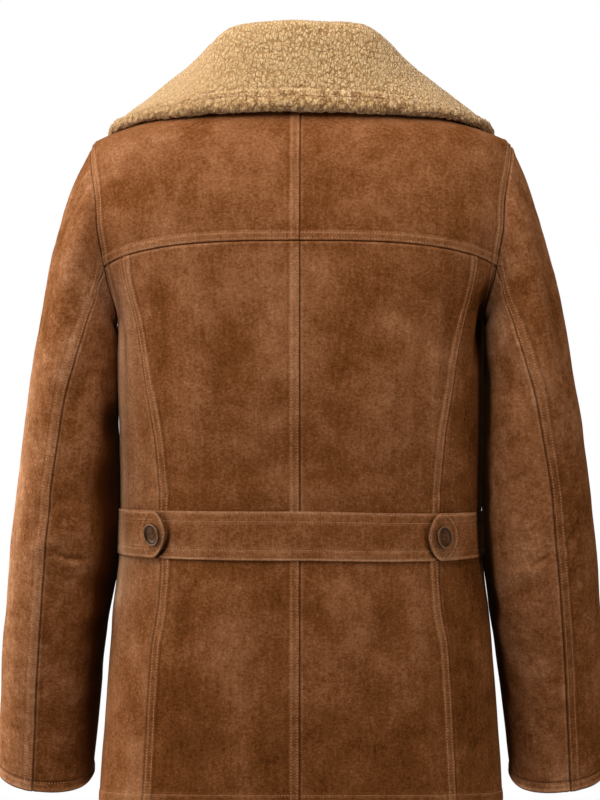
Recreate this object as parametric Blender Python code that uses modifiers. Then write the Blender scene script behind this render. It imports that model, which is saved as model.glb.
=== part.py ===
"""Suede jacket with a wide fleece collar and a half belt across the back, hollow as it is worn.

The body is a stack of rings from hem to neck. A place on it is a level (the height of its ring at
the side, metres) and a turn (the angle round the ring: 0 at the wearer's left side, 90 degrees at
the centre back, -90 at the centre front). Every panel is a patch of that form between two seams, the
sleeves grow out of its armholes, and the collar, belt, tabs and buttons are made from its points,
moved out. The wearer faces -Y and the wearer's left is +X.
"""
import math
from collections import namedtuple

import bmesh
import bpy
import numpy as np
from mathutils import Matrix, Vector

# ---- driving dimensions, metres -------------------------------------------------------------------
WALL = 0.0022            # suede
BELT_WALL = 0.0020       # belt and tabs, one layer of suede
SEAM_GAP = 0.0004        # between two pieces sewn edge to edge
REST_GAP = 0.0003        # between a piece and what it lies on

HEM = -0.770             # side levels, down from the shoulder point at the neck
BELT_BOTTOM = -0.498
BELT_TOP = -0.450
UNDERARM = -0.245
SHOULDER_TIP = -0.053
NECK = 0.0
ARM_STEPS = 9            # rows from shoulder tip to underarm, at equal angles round the armhole
YOKE_STEP = 6            # the yoke seam is the sixth of them down
ARMHOLE_BACK = 0.076     # half depth of the armhole behind and before the side line
ARMHOLE_FRONT = 0.084

FRONT_LAP = 0.030        # each front reaches this far past the centre line
BREAK = -0.262           # level where the neck edge starts up from the lap
NECK_EDGE = 0.086        # where it ends, near the shoulder seam
UNDERLAP_DROP = 0.0030   # the right front lies this far inside the left one

RING_BOW = 1.7           # how a ring's height changes between its side and its middle

MITRE_LIMIT = 0.35       # holds back the mitre at a panel's sharpest corners
SMALL = 0.0005           # step of turn (radians) or level for reading directions
SMALL_STATION = 0.01     # and of station along a sleeve or the collar

BUTTON_RADIUS = 0.0127
BUTTON_THICK = 0.0042
BUTTON_SIDES = 20
BUTTON_CLEAR = 0.0008    # under a front button, whose back is flat and the front is not
FRONT_BUTTON_LEVELS = (-0.290, -0.395, -0.500, -0.605)
TAB_TIP = {"left": 0.1412, "right": 0.1362}      # how far from the centre each tab's point ends
TAB_POINT = 0.0130                               # length of the point
TAB_FLAT = 0.40                                  # its blunt end, as a share of the tab's width
TAB_BUTTON = {"left": 0.0108, "right": 0.0126}   # button centre, in from the tip

COLLAR_THICK = 0.0125    # stand and fall
COLLAR_SEWN = 0.25       # share of that thickness left where it is sewn in at the neck
NECK_CLEAR = 0.0009      # between its lower edge and the neck edge it is sewn to
EDGE_CLEAR = 0.0026      # between the roll and the yoke or front it lies over

# the rings of the body: level is the height at the side
Ring = namedtuple("Ring", "level back_z front_z half_width back_depth front_depth back_square "
                          "front_square")
RINGS = np.array([
    Ring(HEM, -0.763, -0.772, 0.2215, 0.142, 0.150, 2.5, 2.5),
    Ring(-0.660, -0.656, -0.660, 0.2140, 0.139, 0.146, 2.5, 2.5),
    Ring(-0.560, -0.561, -0.560, 0.2060, 0.134, 0.141, 2.5, 2.5),
    Ring(BELT_BOTTOM, -0.502, -0.498, 0.1995, 0.128, 0.137, 2.5, 2.5),
    Ring(BELT_TOP, -0.450, -0.450, 0.1985, 0.127, 0.137, 2.5, 2.5),
    Ring(-0.330, -0.328, -0.333, 0.2005, 0.136, 0.145, 2.6, 2.6),
    Ring(-0.290, -0.287, -0.297, 0.2008, 0.137, 0.147, 2.65, 2.55),
    Ring(UNDERARM, -0.240, -0.257, 0.2005, 0.137, 0.149, 2.8, 2.5),
    Ring(-0.200, -0.164, -0.220, 0.2195, 0.134, 0.147, 3.0, 2.3),
    Ring(-0.149, -0.122, -0.183, 0.2355, 0.128, 0.139, 3.1, 2.3),
    Ring(-0.100, -0.086, -0.155, 0.2378, 0.118, 0.127, 3.0, 2.4),
    Ring(SHOULDER_TIP, -0.052, -0.130, 0.2290, 0.104, 0.113, 2.7, 2.45),
    Ring(-0.025, -0.028, -0.106, 0.1680, 0.090, 0.100, 2.4, 2.4),
    Ring(NECK, -0.012, -0.085, 0.0950, 0.075, 0.088, 2.2, 2.2),
])

# the princess seam: how far it runs from the centre back
Seam = namedtuple("Seam", "level reach")
PRINCESS = np.array([
    Seam(HEM, 0.1685),
    Seam(-0.668, 0.1630),
    Seam(-0.600, 0.1590),
    Seam(-0.550, 0.1513),
    Seam(-0.505, 0.1488),
    Seam(-0.440, 0.1506),
    Seam(-0.390, 0.1536),
    Seam(-0.315, 0.1650),
    Seam(-0.250, 0.1760),
    Seam(-0.200, 0.1909),
    Seam(NECK, 0.0500),
])

# the left sleeve below the armhole: its middle, and its half width across and front to back
Arm = namedtuple("Arm", "station x y z half_across half_deep")
ARM = np.array([
    Arm(1.00, 0.2520, 0.002, -0.300, 0.0460, 0.0820),
    Arm(1.60, 0.2535, 0.004, -0.360, 0.0500, 0.0780),
    Arm(2.40, 0.2580, 0.004, -0.440, 0.0550, 0.0730),
    Arm(3.30, 0.2668, -0.006, -0.530, 0.0565, 0.0680),
    Arm(4.20, 0.2752, -0.028, -0.618, 0.0560, 0.0640),
    Arm(5.00, 0.2810, -0.052, -0.695, 0.0555, 0.0600),
    Arm(5.55, 0.2850, -0.069, -0.747, 0.0552, 0.0575),
])
ARM_SQUARE = 2.2
ARM_END = ARM[-1][0]
SLEEVE_START_REACH = 0.085    # how far the cap runs on out before it turns down
SLEEVE_START_DIP = 38.0       # degrees below level as it leaves the armhole
SLEEVE_START_SPREAD = 0.25    # how much it spreads to front and back there
SLEEVE_END_AIM = 1.2          # station that the cap's end points at
SLEEVE_END_PULL = 0.90        # share of the cap's drop over which it straightens
ELBOW_SWELL = {"left": -0.0015, "right": 0.0055}    # how much fuller the outside of each elbow is
ELBOW_STATION = 2.6
ELBOW_SPAN = 1.6
# how far the inside of each sleeve rests in towards the body
Lean = namedtuple("Lean", "station left right")
INNER_LEAN = np.array([
    Lean(0.00, 0.0000, 0.0000),
    Lean(0.18, 0.0004, 0.0004),
    Lean(0.30, 0.0040, 0.0040),
    Lean(0.45, 0.0060, 0.0060),
    Lean(0.60, 0.0062, 0.0062),
    Lean(0.80, 0.0052, 0.0052),
    Lean(1.00, 0.0042, 0.0042),
    Lean(1.30, 0.0032, 0.0032),
    Lean(1.60, 0.0024, 0.0024),
    Lean(2.00, 0.0018, 0.0018),
    Lean(2.40, 0.0010, 0.0010),
    Lean(2.80, 0.0026, 0.0026),
    Lean(3.00, 0.0046, 0.0052),
    Lean(3.30, 0.0048, 0.0062),
    Lean(3.60, 0.0045, 0.0058),
    Lean(4.20, 0.0035, 0.0036),
    Lean(5.00, 0.0018, 0.0012),
    Lean(5.55, 0.0000, 0.0000),
])

# the hind-arm seam: its angle round the sleeve from the outer side, degrees, towards the back
HindSeam = namedtuple("HindSeam", "station angle")
HIND_SEAM = np.array([
    HindSeam(0.00, 120.0),
    HindSeam(0.12, 123.5),
    HindSeam(0.35, 121.0),
    HindSeam(0.70, 109.0),
    HindSeam(1.00, 97.0),
    HindSeam(1.60, 83.0),
    HindSeam(2.40, 76.0),
    HindSeam(3.30, 75.5),
    HindSeam(4.20, 76.0),
    HindSeam(ARM_END, 77.0),
])
FORE_SEAM_ANGLE = 240.0       # the fore-arm seam, hidden inside the front of the arm
SLEEVE_COLUMNS = {"upper": 12, "under": 6}
RIDGE_START = 1.2             # where the armhole seam is a ridge, both sides of it face the same way
RIDGE_RATE = 5.0
RIDGE_REACH = 0.125           # station by which the sleeve faces its own way again

# the collar, from the centre back to its left end: where it is sewn on, how it stands and leans, and
# where its outer edge lies on the body
Fold = namedtuple("Fold", "station neck_turn neck_level stand lean edge_turn edge_level bulge roll")
COLLAR = np.array([
    Fold(0.0, 90.0, 0.000, 0.0822, 0.020, 90.0, -0.0125, 0.000, 0.0185),
    Fold(1.0, 60.0, 0.000, 0.0800, 0.020, 66.0, -0.0138, 0.000, 0.0185),
    Fold(1.5, 44.0, 0.000, 0.0748, 0.022, 50.0, -0.0165, 0.000, 0.0180),
    Fold(2.0, 28.0, 0.000, 0.0570, 0.018, 34.0, -0.0205, 0.000, 0.0165),
    Fold(2.5, 14.0, 0.000, 0.0420, 0.014, 19.0, -0.0260, 0.0005, 0.0122),
    Fold(3.0, 0.0, 0.000, 0.0330, 0.014, 4.0, -0.0345, 0.0015, 0.0098),
    Fold(3.5, -14.0, 0.000, 0.0300, 0.018, -11.0, -0.0430, 0.0035, 0.0108),
    Fold(4.0, -26.0, 0.000, 0.0300, 0.022, -27.0, -0.0600, 0.006, 0.0145),
    Fold(5.0, -40.0, -0.035, 0.0280, 0.022, -44.0, -0.1000, 0.008, 0.0165),
    Fold(6.0, -60.0, -0.080, 0.0240, 0.018, -60.0, -0.1480, 0.005, 0.0170),
    Fold(7.0, -72.0, -0.125, 0.0200, 0.012, -73.0, -0.1900, 0.003, 0.0165),
    Fold(8.0, -85.0, -0.167, 0.0150, 0.004, -83.0, -0.2080, 0.000, 0.0150),
])
NECK_CORNER = 4.0        # from this station on the collar is sewn to the front's neck edge
FRONT_START = 3.0        # between these stations it turns from standing up to lying out from the chest
FRONT_END = 6.0
STAND_END = 0.7          # how roundly the stand turns over, and how the fall leaves it and lies down
FALL_START = 0.35
FALL_END = 0.55

SHARP_ANGLE = 35.0       # degrees; folds sharper than this are shaded as edges

# ---- colours --------------------------------------------------------------------------------------
Finish = namedtuple("Finish", "color roughness metallic")
FINISHES = {
    "suede": Finish((0.20, 0.075, 0.027), 0.95, 0.0),
    "fleece": Finish((0.56, 0.36, 0.17), 1.0, 0.0),
    "horn": Finish((0.05, 0.02, 0.009), 0.25, 0.0),
}


# ---- curves through tables ------------------------------------------------------------------------
def smooth_through(at, values, x):
    """Read a smooth curve through the points (at, values), never past them, at x."""
    steps = np.diff(at)
    rises = np.diff(values) / steps
    slopes = np.zeros_like(values)
    slopes[0] = rises[0]
    slopes[-1] = rises[-1]
    same = rises[:-1] * rises[1:] > 0.0
    total = np.where(same, rises[:-1] + rises[1:], 1.0)
    slopes[1:-1] = np.where(same, 2.0 * rises[:-1] * rises[1:] / total, 0.0)
    x = np.clip(x, at[0], at[-1])
    i = np.clip(np.searchsorted(at, x) - 1, 0, len(steps) - 1)
    t = (x - at[i]) / steps[i]
    run = steps[i]
    return (values[i] * (1 + 2 * t) * (1 - t) ** 2 + values[i + 1] * t * t * (3 - 2 * t)
            + slopes[i] * run * t * (1 - t) ** 2 - slopes[i + 1] * run * t * t * (1 - t))


def column(table, number, x):
    """One column of a table as a smooth curve of its first column."""
    return smooth_through(table[:, 0], table[:, number], x)


def hermite(start, end, leave, arrive, t):
    """A curve from start to end with the given speeds at its ends."""
    return (start * (1 + 2 * t) * (1 - t) ** 2 + end * t * t * (3 - 2 * t)
            + leave * t * (1 - t) ** 2 - arrive * t * t * (1 - t))


def unit(vectors):
    """Each vector at length one."""
    return vectors / np.linalg.norm(vectors, axis=-1, keepdims=True)


# ---- the body form --------------------------------------------------------------------------------
def ring_sizes(level, behind):
    """The ring of a level behind or before the side line: middle z, half width, depth, squareness."""
    middle_z, depth, square = (np.where(behind, column(RINGS, back, level), column(RINGS, front, level))
                               for back, front in ((1, 2), (4, 5), (6, 7)))
    return middle_z, column(RINGS, 3, level), depth, square


def body(turn, level):
    """The point of the body's outer face at a turn (radians) round the ring of a level."""
    turn, level = np.broadcast_arrays(np.asarray(turn, float), np.asarray(level, float))
    across, along = np.cos(turn), np.sin(turn)
    middle_z, half_width, depth, square = ring_sizes(level, along > 0.0)
    reach = (np.abs(across / half_width) ** square + np.abs(along / depth) ** square) ** (-1 / square)
    share = np.abs(reach * along / depth) ** RING_BOW
    return np.stack([reach * across, reach * along, level + (middle_z - level) * share], axis=-1)


def body_normal(turn, level):
    """The direction out of the body's face."""
    turn, level = np.broadcast_arrays(np.asarray(turn, float), np.asarray(level, float))
    round_it = body(turn + SMALL, level) - body(turn - SMALL, level)
    low = np.clip(level - SMALL, HEM, NECK)
    high = np.clip(level + SMALL, HEM, NECK)
    up = body(turn, high) - body(turn, low)
    return unit(np.cross(round_it, up))


def turn_at_x(x, level, side):
    """The turn where the ring of a level is x from the middle, on the back (1) or front (-1)."""
    _, half_width, depth, square = ring_sizes(level, side > 0)
    share = np.clip(1.0 - np.abs(x / half_width) ** square, 0.0, 1.0)
    return np.arctan2(side * depth * share ** (1.0 / square), x)


def turn_at_y(y, level):
    """The turn on the wearer's left where the ring of a level is y behind the side line."""
    _, half_width, depth, square = ring_sizes(level, y > 0.0)
    share = np.clip(1.0 - np.abs(y / depth) ** square, 0.0, 1.0)
    return np.arctan2(y, half_width * share ** (1.0 / square))


# ---- seams as turns of a level --------------------------------------------------------------------
def armhole_angle(level):
    """The angle down round the armhole from the shoulder tip, radians, at a level."""
    middle = (SHOULDER_TIP + UNDERARM) / 2.0
    half = (SHOULDER_TIP - UNDERARM) / 2.0
    return np.arccos(np.clip((level - middle) / half, -1.0, 1.0))


def armhole_level(angle):
    """The level at an angle down round the armhole."""
    return (SHOULDER_TIP + UNDERARM) / 2.0 + (SHOULDER_TIP - UNDERARM) / 2.0 * np.cos(angle)


def centre_back(level):
    return np.full_like(level, math.pi / 2.0)


def princess(level):
    return turn_at_x(column(PRINCESS, 1, level), level, 1)


def side_back(level):
    """Side seam, back of the armhole, then shoulder seam."""
    return turn_at_y(ARMHOLE_BACK * np.sin(armhole_angle(level)), level)


def side_front(level):
    """Side seam, front of the armhole, then shoulder seam."""
    return turn_at_y(-ARMHOLE_FRONT * np.sin(armhole_angle(level)), level)


def front_edge(level):
    """The lap of the left front, then the neck edge rising to the shoulder."""
    rise = np.clip((level - BREAK) / (NECK - BREAK), 0.0, 1.0)
    return turn_at_x(-FRONT_LAP + (NECK_EDGE + FRONT_LAP) * rise, level, -1)


def between(first, second, count):
    """A function that spreads count + 1 columns evenly between two seams."""
    def columns(levels):
        share = np.linspace(0.0, 1.0, count + 1)
        start, end = first(levels)[:, None], second(levels)[:, None]
        return start + (end - start) * share
    return columns


# ---- levels that the panels' rows lie on ----------------------------------------------------------
YOKE_LEVEL = float(armhole_level(math.pi * YOKE_STEP / ARM_STEPS))
SKIRT_LEVELS = [HEM, -0.715, -0.660, -0.605, -0.550, BELT_BOTTOM, (BELT_BOTTOM + BELT_TOP) / 2.0, BELT_TOP,
                -0.395, -0.340, -0.290]
ARM_LEVELS = [float(armhole_level(math.pi * step / ARM_STEPS)) for step in range(ARM_STEPS, -1, -1)]
TOP_LEVELS = [-0.037, -0.018, NECK]
LEVELS = np.array(SKIRT_LEVELS + ARM_LEVELS + TOP_LEVELS)


def rows_between(low, high):
    """The rows from one level up to another."""
    return LEVELS[(LEVELS > low - 1e-6) & (LEVELS < high + 1e-6)]


# ---- meshes ---------------------------------------------------------------------------------------
def inset_border(points, normals, gap):
    """Move the border of a grid inwards by a gap, along its own face."""
    rows, columns = points.shape[:2]
    loop = ([(0, c) for c in range(columns)] + [(r, columns - 1) for r in range(1, rows)]
            + [(rows - 1, c) for c in range(columns - 2, -1, -1)] + [(r, 0) for r in range(rows - 2, 0, -1)])
    row, col = np.array(loop).T
    edge, out = points[row, col], normals[row, col]
    before = unit(np.cross(out, unit(edge - np.roll(edge, 1, axis=0))))
    after = unit(np.cross(out, unit(np.roll(edge, -1, axis=0) - edge)))
    together = np.maximum(1.0 + np.sum(before * after, axis=-1, keepdims=True), MITRE_LIMIT)
    moved = points.copy()
    moved[row, col] += gap * (before + after) / together
    return moved


def wall_mesh(outer, inner):
    """A closed wall between two grids of points; rows run up, columns run anticlockwise from above."""
    mesh = bmesh.new()
    rows, columns = outer.shape[:2]
    faces = [[[mesh.verts.new(point) for point in row] for row in grid] for grid in (outer, inner)]
    out, back = faces
    for r in range(rows - 1):
        for c in range(columns - 1):
            mesh.faces.new((out[r][c], out[r][c + 1], out[r + 1][c + 1], out[r + 1][c]))
            mesh.faces.new((back[r][c], back[r + 1][c], back[r + 1][c + 1], back[r][c + 1]))
    # every rim is cut along the same diagonal, so that the rims of two pieces at a seam stay parallel
    for c in range(columns - 1):
        mesh.faces.new((out[0][c + 1], out[0][c], back[0][c + 1]))
        mesh.faces.new((out[0][c], back[0][c], back[0][c + 1]))
        mesh.faces.new((out[-1][c], out[-1][c + 1], back[-1][c + 1]))
        mesh.faces.new((out[-1][c], back[-1][c + 1], back[-1][c]))
    for r in range(rows - 1):
        mesh.faces.new((out[r][0], out[r + 1][0], back[r + 1][0]))
        mesh.faces.new((out[r][0], back[r + 1][0], back[r][0]))
        mesh.faces.new((out[r + 1][-1], out[r][-1], back[r + 1][-1]))
        mesh.faces.new((out[r][-1], back[r][-1], back[r + 1][-1]))
    return mesh


def add_object(name, mesh, finish, smooth=True):
    """Put a finished bmesh in the jacket's collection, with its material."""
    bmesh.ops.recalc_face_normals(mesh, faces=mesh.faces)
    data = bpy.data.meshes.new(name)
    mesh.to_mesh(data)
    mesh.free()
    data.materials.append(bpy.data.materials[finish])
    if smooth:
        data.shade_smooth()
        data.set_sharp_from_angle(angle=math.radians(SHARP_ANGLE))
    piece = bpy.data.objects.new(name, data)
    bpy.data.collections["suede_jacket"].objects.link(piece)
    return piece


def mirrored(grid):
    """The same grid on the wearer's right, with its columns turned round so that it still faces out."""
    return grid[:, ::-1] * np.array([-1.0, 1.0, 1.0])


def add_wall(name, points, normals, right=False, wall=WALL, gap=SEAM_GAP / 2.0, finish="suede"):
    """A wall of one thickness behind a grid of points, set back from its seams."""
    if right:
        points, normals = mirrored(points), mirrored(normals)
    outer = inset_border(points, normals, gap)
    return add_object(name, wall_mesh(outer, outer - wall * normals), finish)


def add_panel(name, columns, levels, right=False):
    """A panel of the body between two seams, over a run of levels."""
    turns = columns(levels)
    heights = np.broadcast_to(levels[:, None], turns.shape)
    return add_wall(name, body(turns, heights), body_normal(turns, heights), right)


def add_material(name, finish):
    """A plain material of the piece's colour."""
    material = bpy.data.materials.new(name)
    material.use_nodes = True
    shader = material.node_tree.nodes["Principled BSDF"]
    shader.inputs["Base Color"].default_value = (*finish.color, 1.0)
    shader.inputs["Roughness"].default_value = finish.roughness
    shader.inputs["Metallic"].default_value = finish.metallic


# ---- panels of the body ---------------------------------------------------------------------------
CENTRE_COLUMNS = 5
SIDE_COLUMNS = 4
FRONT_COLUMNS = 9


def make_backs():
    """Yokes, centre backs and side backs, which share their rows and columns along the seams."""
    below = rows_between(HEM, YOKE_LEVEL)
    above = rows_between(YOKE_LEVEL, NECK)
    centre = between(princess, centre_back, CENTRE_COLUMNS)
    side = between(side_back, princess, SIDE_COLUMNS)

    def across_yoke(levels):
        return np.concatenate([side(levels)[:, :-1], centre(levels)], axis=1)

    for hand in ("left", "right"):
        add_panel(f"back_center_{hand}", centre, below, hand == "right")
        add_panel(f"back_side_{hand}", side, below, hand == "right")
        add_panel(f"back_yoke_{hand}", across_yoke, above, hand == "right")


def make_fronts():
    """Two fronts that lap over each other at the centre, the left one outside."""
    levels = rows_between(HEM, NECK)
    turns = between(front_edge, side_front, FRONT_COLUMNS)(levels)
    heights = np.broadcast_to(levels[:, None], turns.shape)
    points, normals = body(turns, heights), body_normal(turns, heights)
    add_wall("front_left", points, normals)
    # the right front sinks under the left one towards its edge
    depth_in = np.clip((2.0 * FRONT_LAP - points[..., 0]) / FRONT_LAP, 0.0, 1.0)
    sink = depth_in * depth_in * (3.0 - 2.0 * depth_in)
    add_wall("front_right", points - UNDERLAP_DROP * sink[..., None] * normals, normals, right=True)


# ---- sleeves --------------------------------------------------------------------------------------
def arm_tube(angle, station):
    """A point of the left sleeve below the cap, at an angle round it from its outer side."""
    angle, station = np.broadcast_arrays(np.asarray(angle, float), np.asarray(station, float))
    middle = np.stack([column(ARM, number, station) for number in (1, 2, 3)], axis=-1)
    ahead = np.stack([column(ARM, number, station + SMALL_STATION) for number in (1, 2, 3)], axis=-1)
    behind = np.stack([column(ARM, number, station - SMALL_STATION) for number in (1, 2, 3)], axis=-1)
    down = unit(ahead - behind)
    across = unit(np.array([1.0, 0.0, 0.0]) - down[..., :1] * down)
    deep = np.cross(across, down)
    cosine, sine = np.cos(angle), np.sin(angle)
    reach = (np.abs(cosine) ** ARM_SQUARE + np.abs(sine) ** ARM_SQUARE) ** (-1.0 / ARM_SQUARE)
    return (middle + across * (column(ARM, 4, station) * reach * cosine)[..., None]
            + deep * (column(ARM, 5, station) * reach * sine)[..., None])


def armhole_body(angle):
    """The armhole's seam line, at an angle round it from the shoulder tip towards the back."""
    depth = np.where(np.sin(angle) > 0.0, ARMHOLE_BACK, ARMHOLE_FRONT)
    level = armhole_level(angle)
    return turn_at_y(depth * np.sin(angle), level), level


def sleeve_start(angle):
    """The direction in which the sleeve leaves the armhole."""
    dip = math.radians(SLEEVE_START_DIP)
    return unit(np.stack([np.full_like(angle, math.cos(dip)), SLEEVE_START_SPREAD * np.sin(angle),
                          np.full_like(angle, -math.sin(dip))], axis=-1))


def sleeve(angle, station):
    """A point of the left sleeve: stations 0 to 1 are the cap, and from 1 on it is the arm's tube."""
    angle, station = np.broadcast_arrays(np.asarray(angle, float), np.asarray(station, float))
    cap = np.clip(station, 0.0, 1.0)[..., None]
    start, end = body(*armhole_body(angle)), arm_tube(angle, 1.0)
    drop = np.linalg.norm(end - start, axis=-1, keepdims=True)
    early = sleeve_start(angle) * np.minimum(SLEEVE_START_REACH, drop)
    late = unit(arm_tube(angle, SLEEVE_END_AIM) - end) * drop * SLEEVE_END_PULL
    curve = hermite(start, end, early, late, cap)
    return np.where(station[..., None] < 1.0, curve, arm_tube(angle, np.maximum(station, 1.0)))


def sleeve_normal(angle, station):
    """The direction out of the sleeve; where the seam is a ridge it starts as the body's own."""
    round_it = sleeve(angle + SMALL, station) - sleeve(angle - SMALL, station)
    low, high = np.clip(station - SMALL, 0.0, ARM_END), np.clip(station + SMALL, 0.0, ARM_END)
    down = sleeve(angle, high) - sleeve(angle, low)
    out = unit(np.cross(down, round_it))
    shoulder = body_normal(*armhole_body(angle))
    below = -np.sum(sleeve_start(angle) * shoulder, axis=-1)
    ridge = np.clip(RIDGE_START + RIDGE_RATE * below, 0.0, 1.0)
    lean = ridge * np.clip(1.0 - station / RIDGE_REACH, 0.0, 1.0)
    return unit(out * (1.0 - lean[..., None]) + shoulder * lean[..., None])


SLEEVE_STATIONS = np.array([0.0, 0.10, 0.25, 0.45, 0.70, 1.0, 1.5, 2.0, 2.5, 3.0, 3.5, 4.2, 4.9, ARM_END])


def make_sleeves():
    """An upper and an under sleeve on each arm, meeting at the hind-arm and fore-arm seams."""
    stations = SLEEVE_STATIONS[::-1]
    hind = np.radians(column(HIND_SEAM, 1, stations))
    fore = np.full_like(hind, math.radians(FORE_SEAM_ANGLE))
    for part, start, end in (("upper", fore - 2.0 * math.pi, hind), ("under", hind, fore)):
        share = np.linspace(0.0, 1.0, SLEEVE_COLUMNS[part] + 1)
        angles = start[:, None] + (end - start)[:, None] * share
        places = np.broadcast_to(stations[:, None], angles.shape)
        points, normals = sleeve(angles, places), sleeve_normal(angles, places)
        outside, inside = np.clip(np.cos(angles), 0.0, 1.0), np.clip(-np.cos(angles), 0.0, 1.0)
        swell = np.exp(-((places - ELBOW_STATION) / ELBOW_SPAN) ** 2) * outside
        for hand, side in (("left", 1), ("right", 2)):
            fuller = points.copy()
            fuller[..., 0] += ELBOW_SWELL[hand] * swell - column(INNER_LEAN, side, places) * inside
            add_wall(f"sleeve_{part}_{hand}", fuller, normals, right=hand == "right")


# ---- collar ---------------------------------------------------------------------------------------
COLLAR_STATIONS = np.array([0.0, 0.5, 1.0, 1.4, 1.8, 2.2, 2.6, 3.0, 3.3, 3.6, 3.9, 4.3, 4.7, 5.1, 5.5, 6.0,
                            6.5, 7.0, 7.5, 8.0])
COLLAR_PLACES = np.array([0.0, 0.45, 0.75, 1.0, 1.25, 1.6, 2.0])
ROLL_TURNS = np.radians([45.0, 90.0, 135.0])


def collar_line(station, place):
    """The middle of the collar's thickness: place 0 at the neck seam, 1 on top, 2 at the outer edge."""
    neck_level = column(COLLAR, 2, station)
    on_front = front_edge(np.minimum(neck_level, 0.0))
    neck_turn = np.where(station > NECK_CORNER, on_front, np.radians(column(COLLAR, 1, station)))
    edge_turn, edge_level = np.radians(column(COLLAR, 5, station)), column(COLLAR, 6, station)
    out, edge_out = body_normal(neck_turn, neck_level), body_normal(edge_turn, edge_level)
    front = np.clip((station - FRONT_START) / (FRONT_END - FRONT_START), 0.0, 1.0)[..., None]
    up = unit(np.array([0.0, 0.0, 1.0]) * (1.0 - front) + out * front)
    neck = body(neck_turn, neck_level) + up * NECK_CLEAR
    edge_lift = column(COLLAR, 8, station)[..., None] / 2.0 + EDGE_CLEAR
    edge = body(edge_turn, edge_level) + edge_out * edge_lift
    away = edge - neck
    away = unit(away - up * np.sum(away * up, axis=-1, keepdims=True))
    rise, lean = column(COLLAR, 3, station)[..., None], column(COLLAR, 4, station)[..., None]
    crest = neck + up * rise + away * lean
    fall = np.linalg.norm(edge - crest, axis=-1, keepdims=True)
    along = unit(away - edge_out * np.sum(away * edge_out, axis=-1, keepdims=True))
    place = np.asarray(place, float)[..., None]
    stand_part = hermite(neck, crest, up * rise, away * rise * STAND_END, np.clip(place, 0.0, 1.0))
    down = np.clip(place - 1.0, 0.0, 1.0)
    fall_part = hermite(crest, edge, away * fall * FALL_START, along * fall * FALL_END, down)
    fall_part = fall_part + edge_out * column(COLLAR, 7, station)[..., None] * np.sin(math.pi * down)
    return np.where(place <= 1.0, stand_part, fall_part)


def collar_grid(stations):
    """Points all round the collar's section, a row for each station along its left half."""
    station, place = np.meshgrid(stations, COLLAR_PLACES, indexing="ij")
    line = collar_line(station, place)
    down_it = unit(collar_line(station, np.minimum(place + SMALL_STATION, 2.0))
                   - collar_line(station, np.maximum(place - SMALL_STATION, 0.0)))
    along_it = unit(collar_line(np.minimum(station + SMALL_STATION, stations[-1]), place)
                    - collar_line(station - SMALL_STATION, place))
    fleece = unit(np.cross(along_it, down_it))
    full = COLLAR_SEWN + (1.0 - COLLAR_SEWN) * np.clip(2.0 * place, 0.0, 1.0)[..., None]
    share = np.clip(place - 1.0, 0.0, 1.0)[..., None] ** 2
    roll = column(COLLAR, 8, station)[..., None]
    half = (COLLAR_THICK * full + (roll - COLLAR_THICK) * share) / 2.0
    edge, last = line[:, -1], half[:, -1]
    rolled = [edge + last * (math.cos(t) * fleece[:, -1] + math.sin(t) * down_it[:, -1]) for t in ROLL_TURNS]
    return np.concatenate([line + half * fleece, np.stack(rolled, axis=1), (line - half * fleece)[:, ::-1]],
                          axis=1)


def make_collar():
    """One band of fleece from front end to front end, stood up at the neck and turned over."""
    half = collar_grid(COLLAR_STATIONS)
    rings = np.concatenate([half[:0:-1], half * np.array([-1.0, 1.0, 1.0])], axis=0)
    mesh = bmesh.new()
    loops = [[mesh.verts.new(point) for point in ring] for ring in rings]
    count = len(loops[0])
    for first, second in zip(loops, loops[1:]):
        for i in range(count):
            mesh.faces.new((first[i], first[(i + 1) % count], second[(i + 1) % count], second[i]))
    mesh.faces.new(loops[0][::-1])
    mesh.faces.new(loops[-1])
    add_object("collar", mesh, "fleece")


# ---- belt, tabs and buttons -----------------------------------------------------------------------
BELT_ROWS = np.array([BELT_BOTTOM, (BELT_BOTTOM + BELT_TOP) / 2.0, BELT_TOP])
BELT_LIFT = REST_GAP + BELT_WALL
TAB_LIFT = BELT_LIFT + 2.0 * REST_GAP + BELT_WALL


def lifted(turns, levels, lift):
    """Points above the body's face, and the face's directions there."""
    normals = body_normal(turns, levels)
    return body(turns, levels) + normals * lift, normals


def make_belt():
    """The belt across the back, on the panels' own rows and columns, its ends under the tabs."""
    side = between(side_back, princess, SIDE_COLUMNS)(BELT_ROWS)
    centre = between(princess, centre_back, CENTRE_COLUMNS)(BELT_ROWS)
    left = np.concatenate([side[:, -2:-1], centre], axis=1)
    turns = np.concatenate([left, math.pi - left[:, -2::-1]], axis=1)
    heights = np.broadcast_to(BELT_ROWS[:, None], turns.shape)
    points, normals = lifted(turns, heights, BELT_LIFT)
    add_wall("belt_center", points, normals, wall=BELT_WALL, gap=0.0)


def make_tab(hand):
    """A tab from the side seam, over the belt's end, to its blunt point."""
    tip = TAB_TIP[hand]
    side = between(side_back, princess, SIDE_COLUMNS)(BELT_ROWS)
    middle = BELT_ROWS[1]
    corner, end = (turn_at_x(x, BELT_ROWS, 1)[:, None] for x in (tip + TAB_POINT, tip))
    turns = np.concatenate([side[:, :-1], corner, end], axis=1)
    heights = np.broadcast_to(BELT_ROWS[:, None], turns.shape).copy()
    heights[:, -1] = middle + (BELT_ROWS - middle) * TAB_FLAT
    turns[:, -1] = turn_at_x(tip, heights[:, -1], 1)
    lift = np.full(turns.shape[1], TAB_LIFT)
    lift[:SIDE_COLUMNS - 1] = BELT_LIFT
    points, normals = lifted(turns, heights, lift[None, :, None])
    add_wall(f"belt_tab_{hand}", points, normals, hand == "right", BELT_WALL, gap=0.0)


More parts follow.
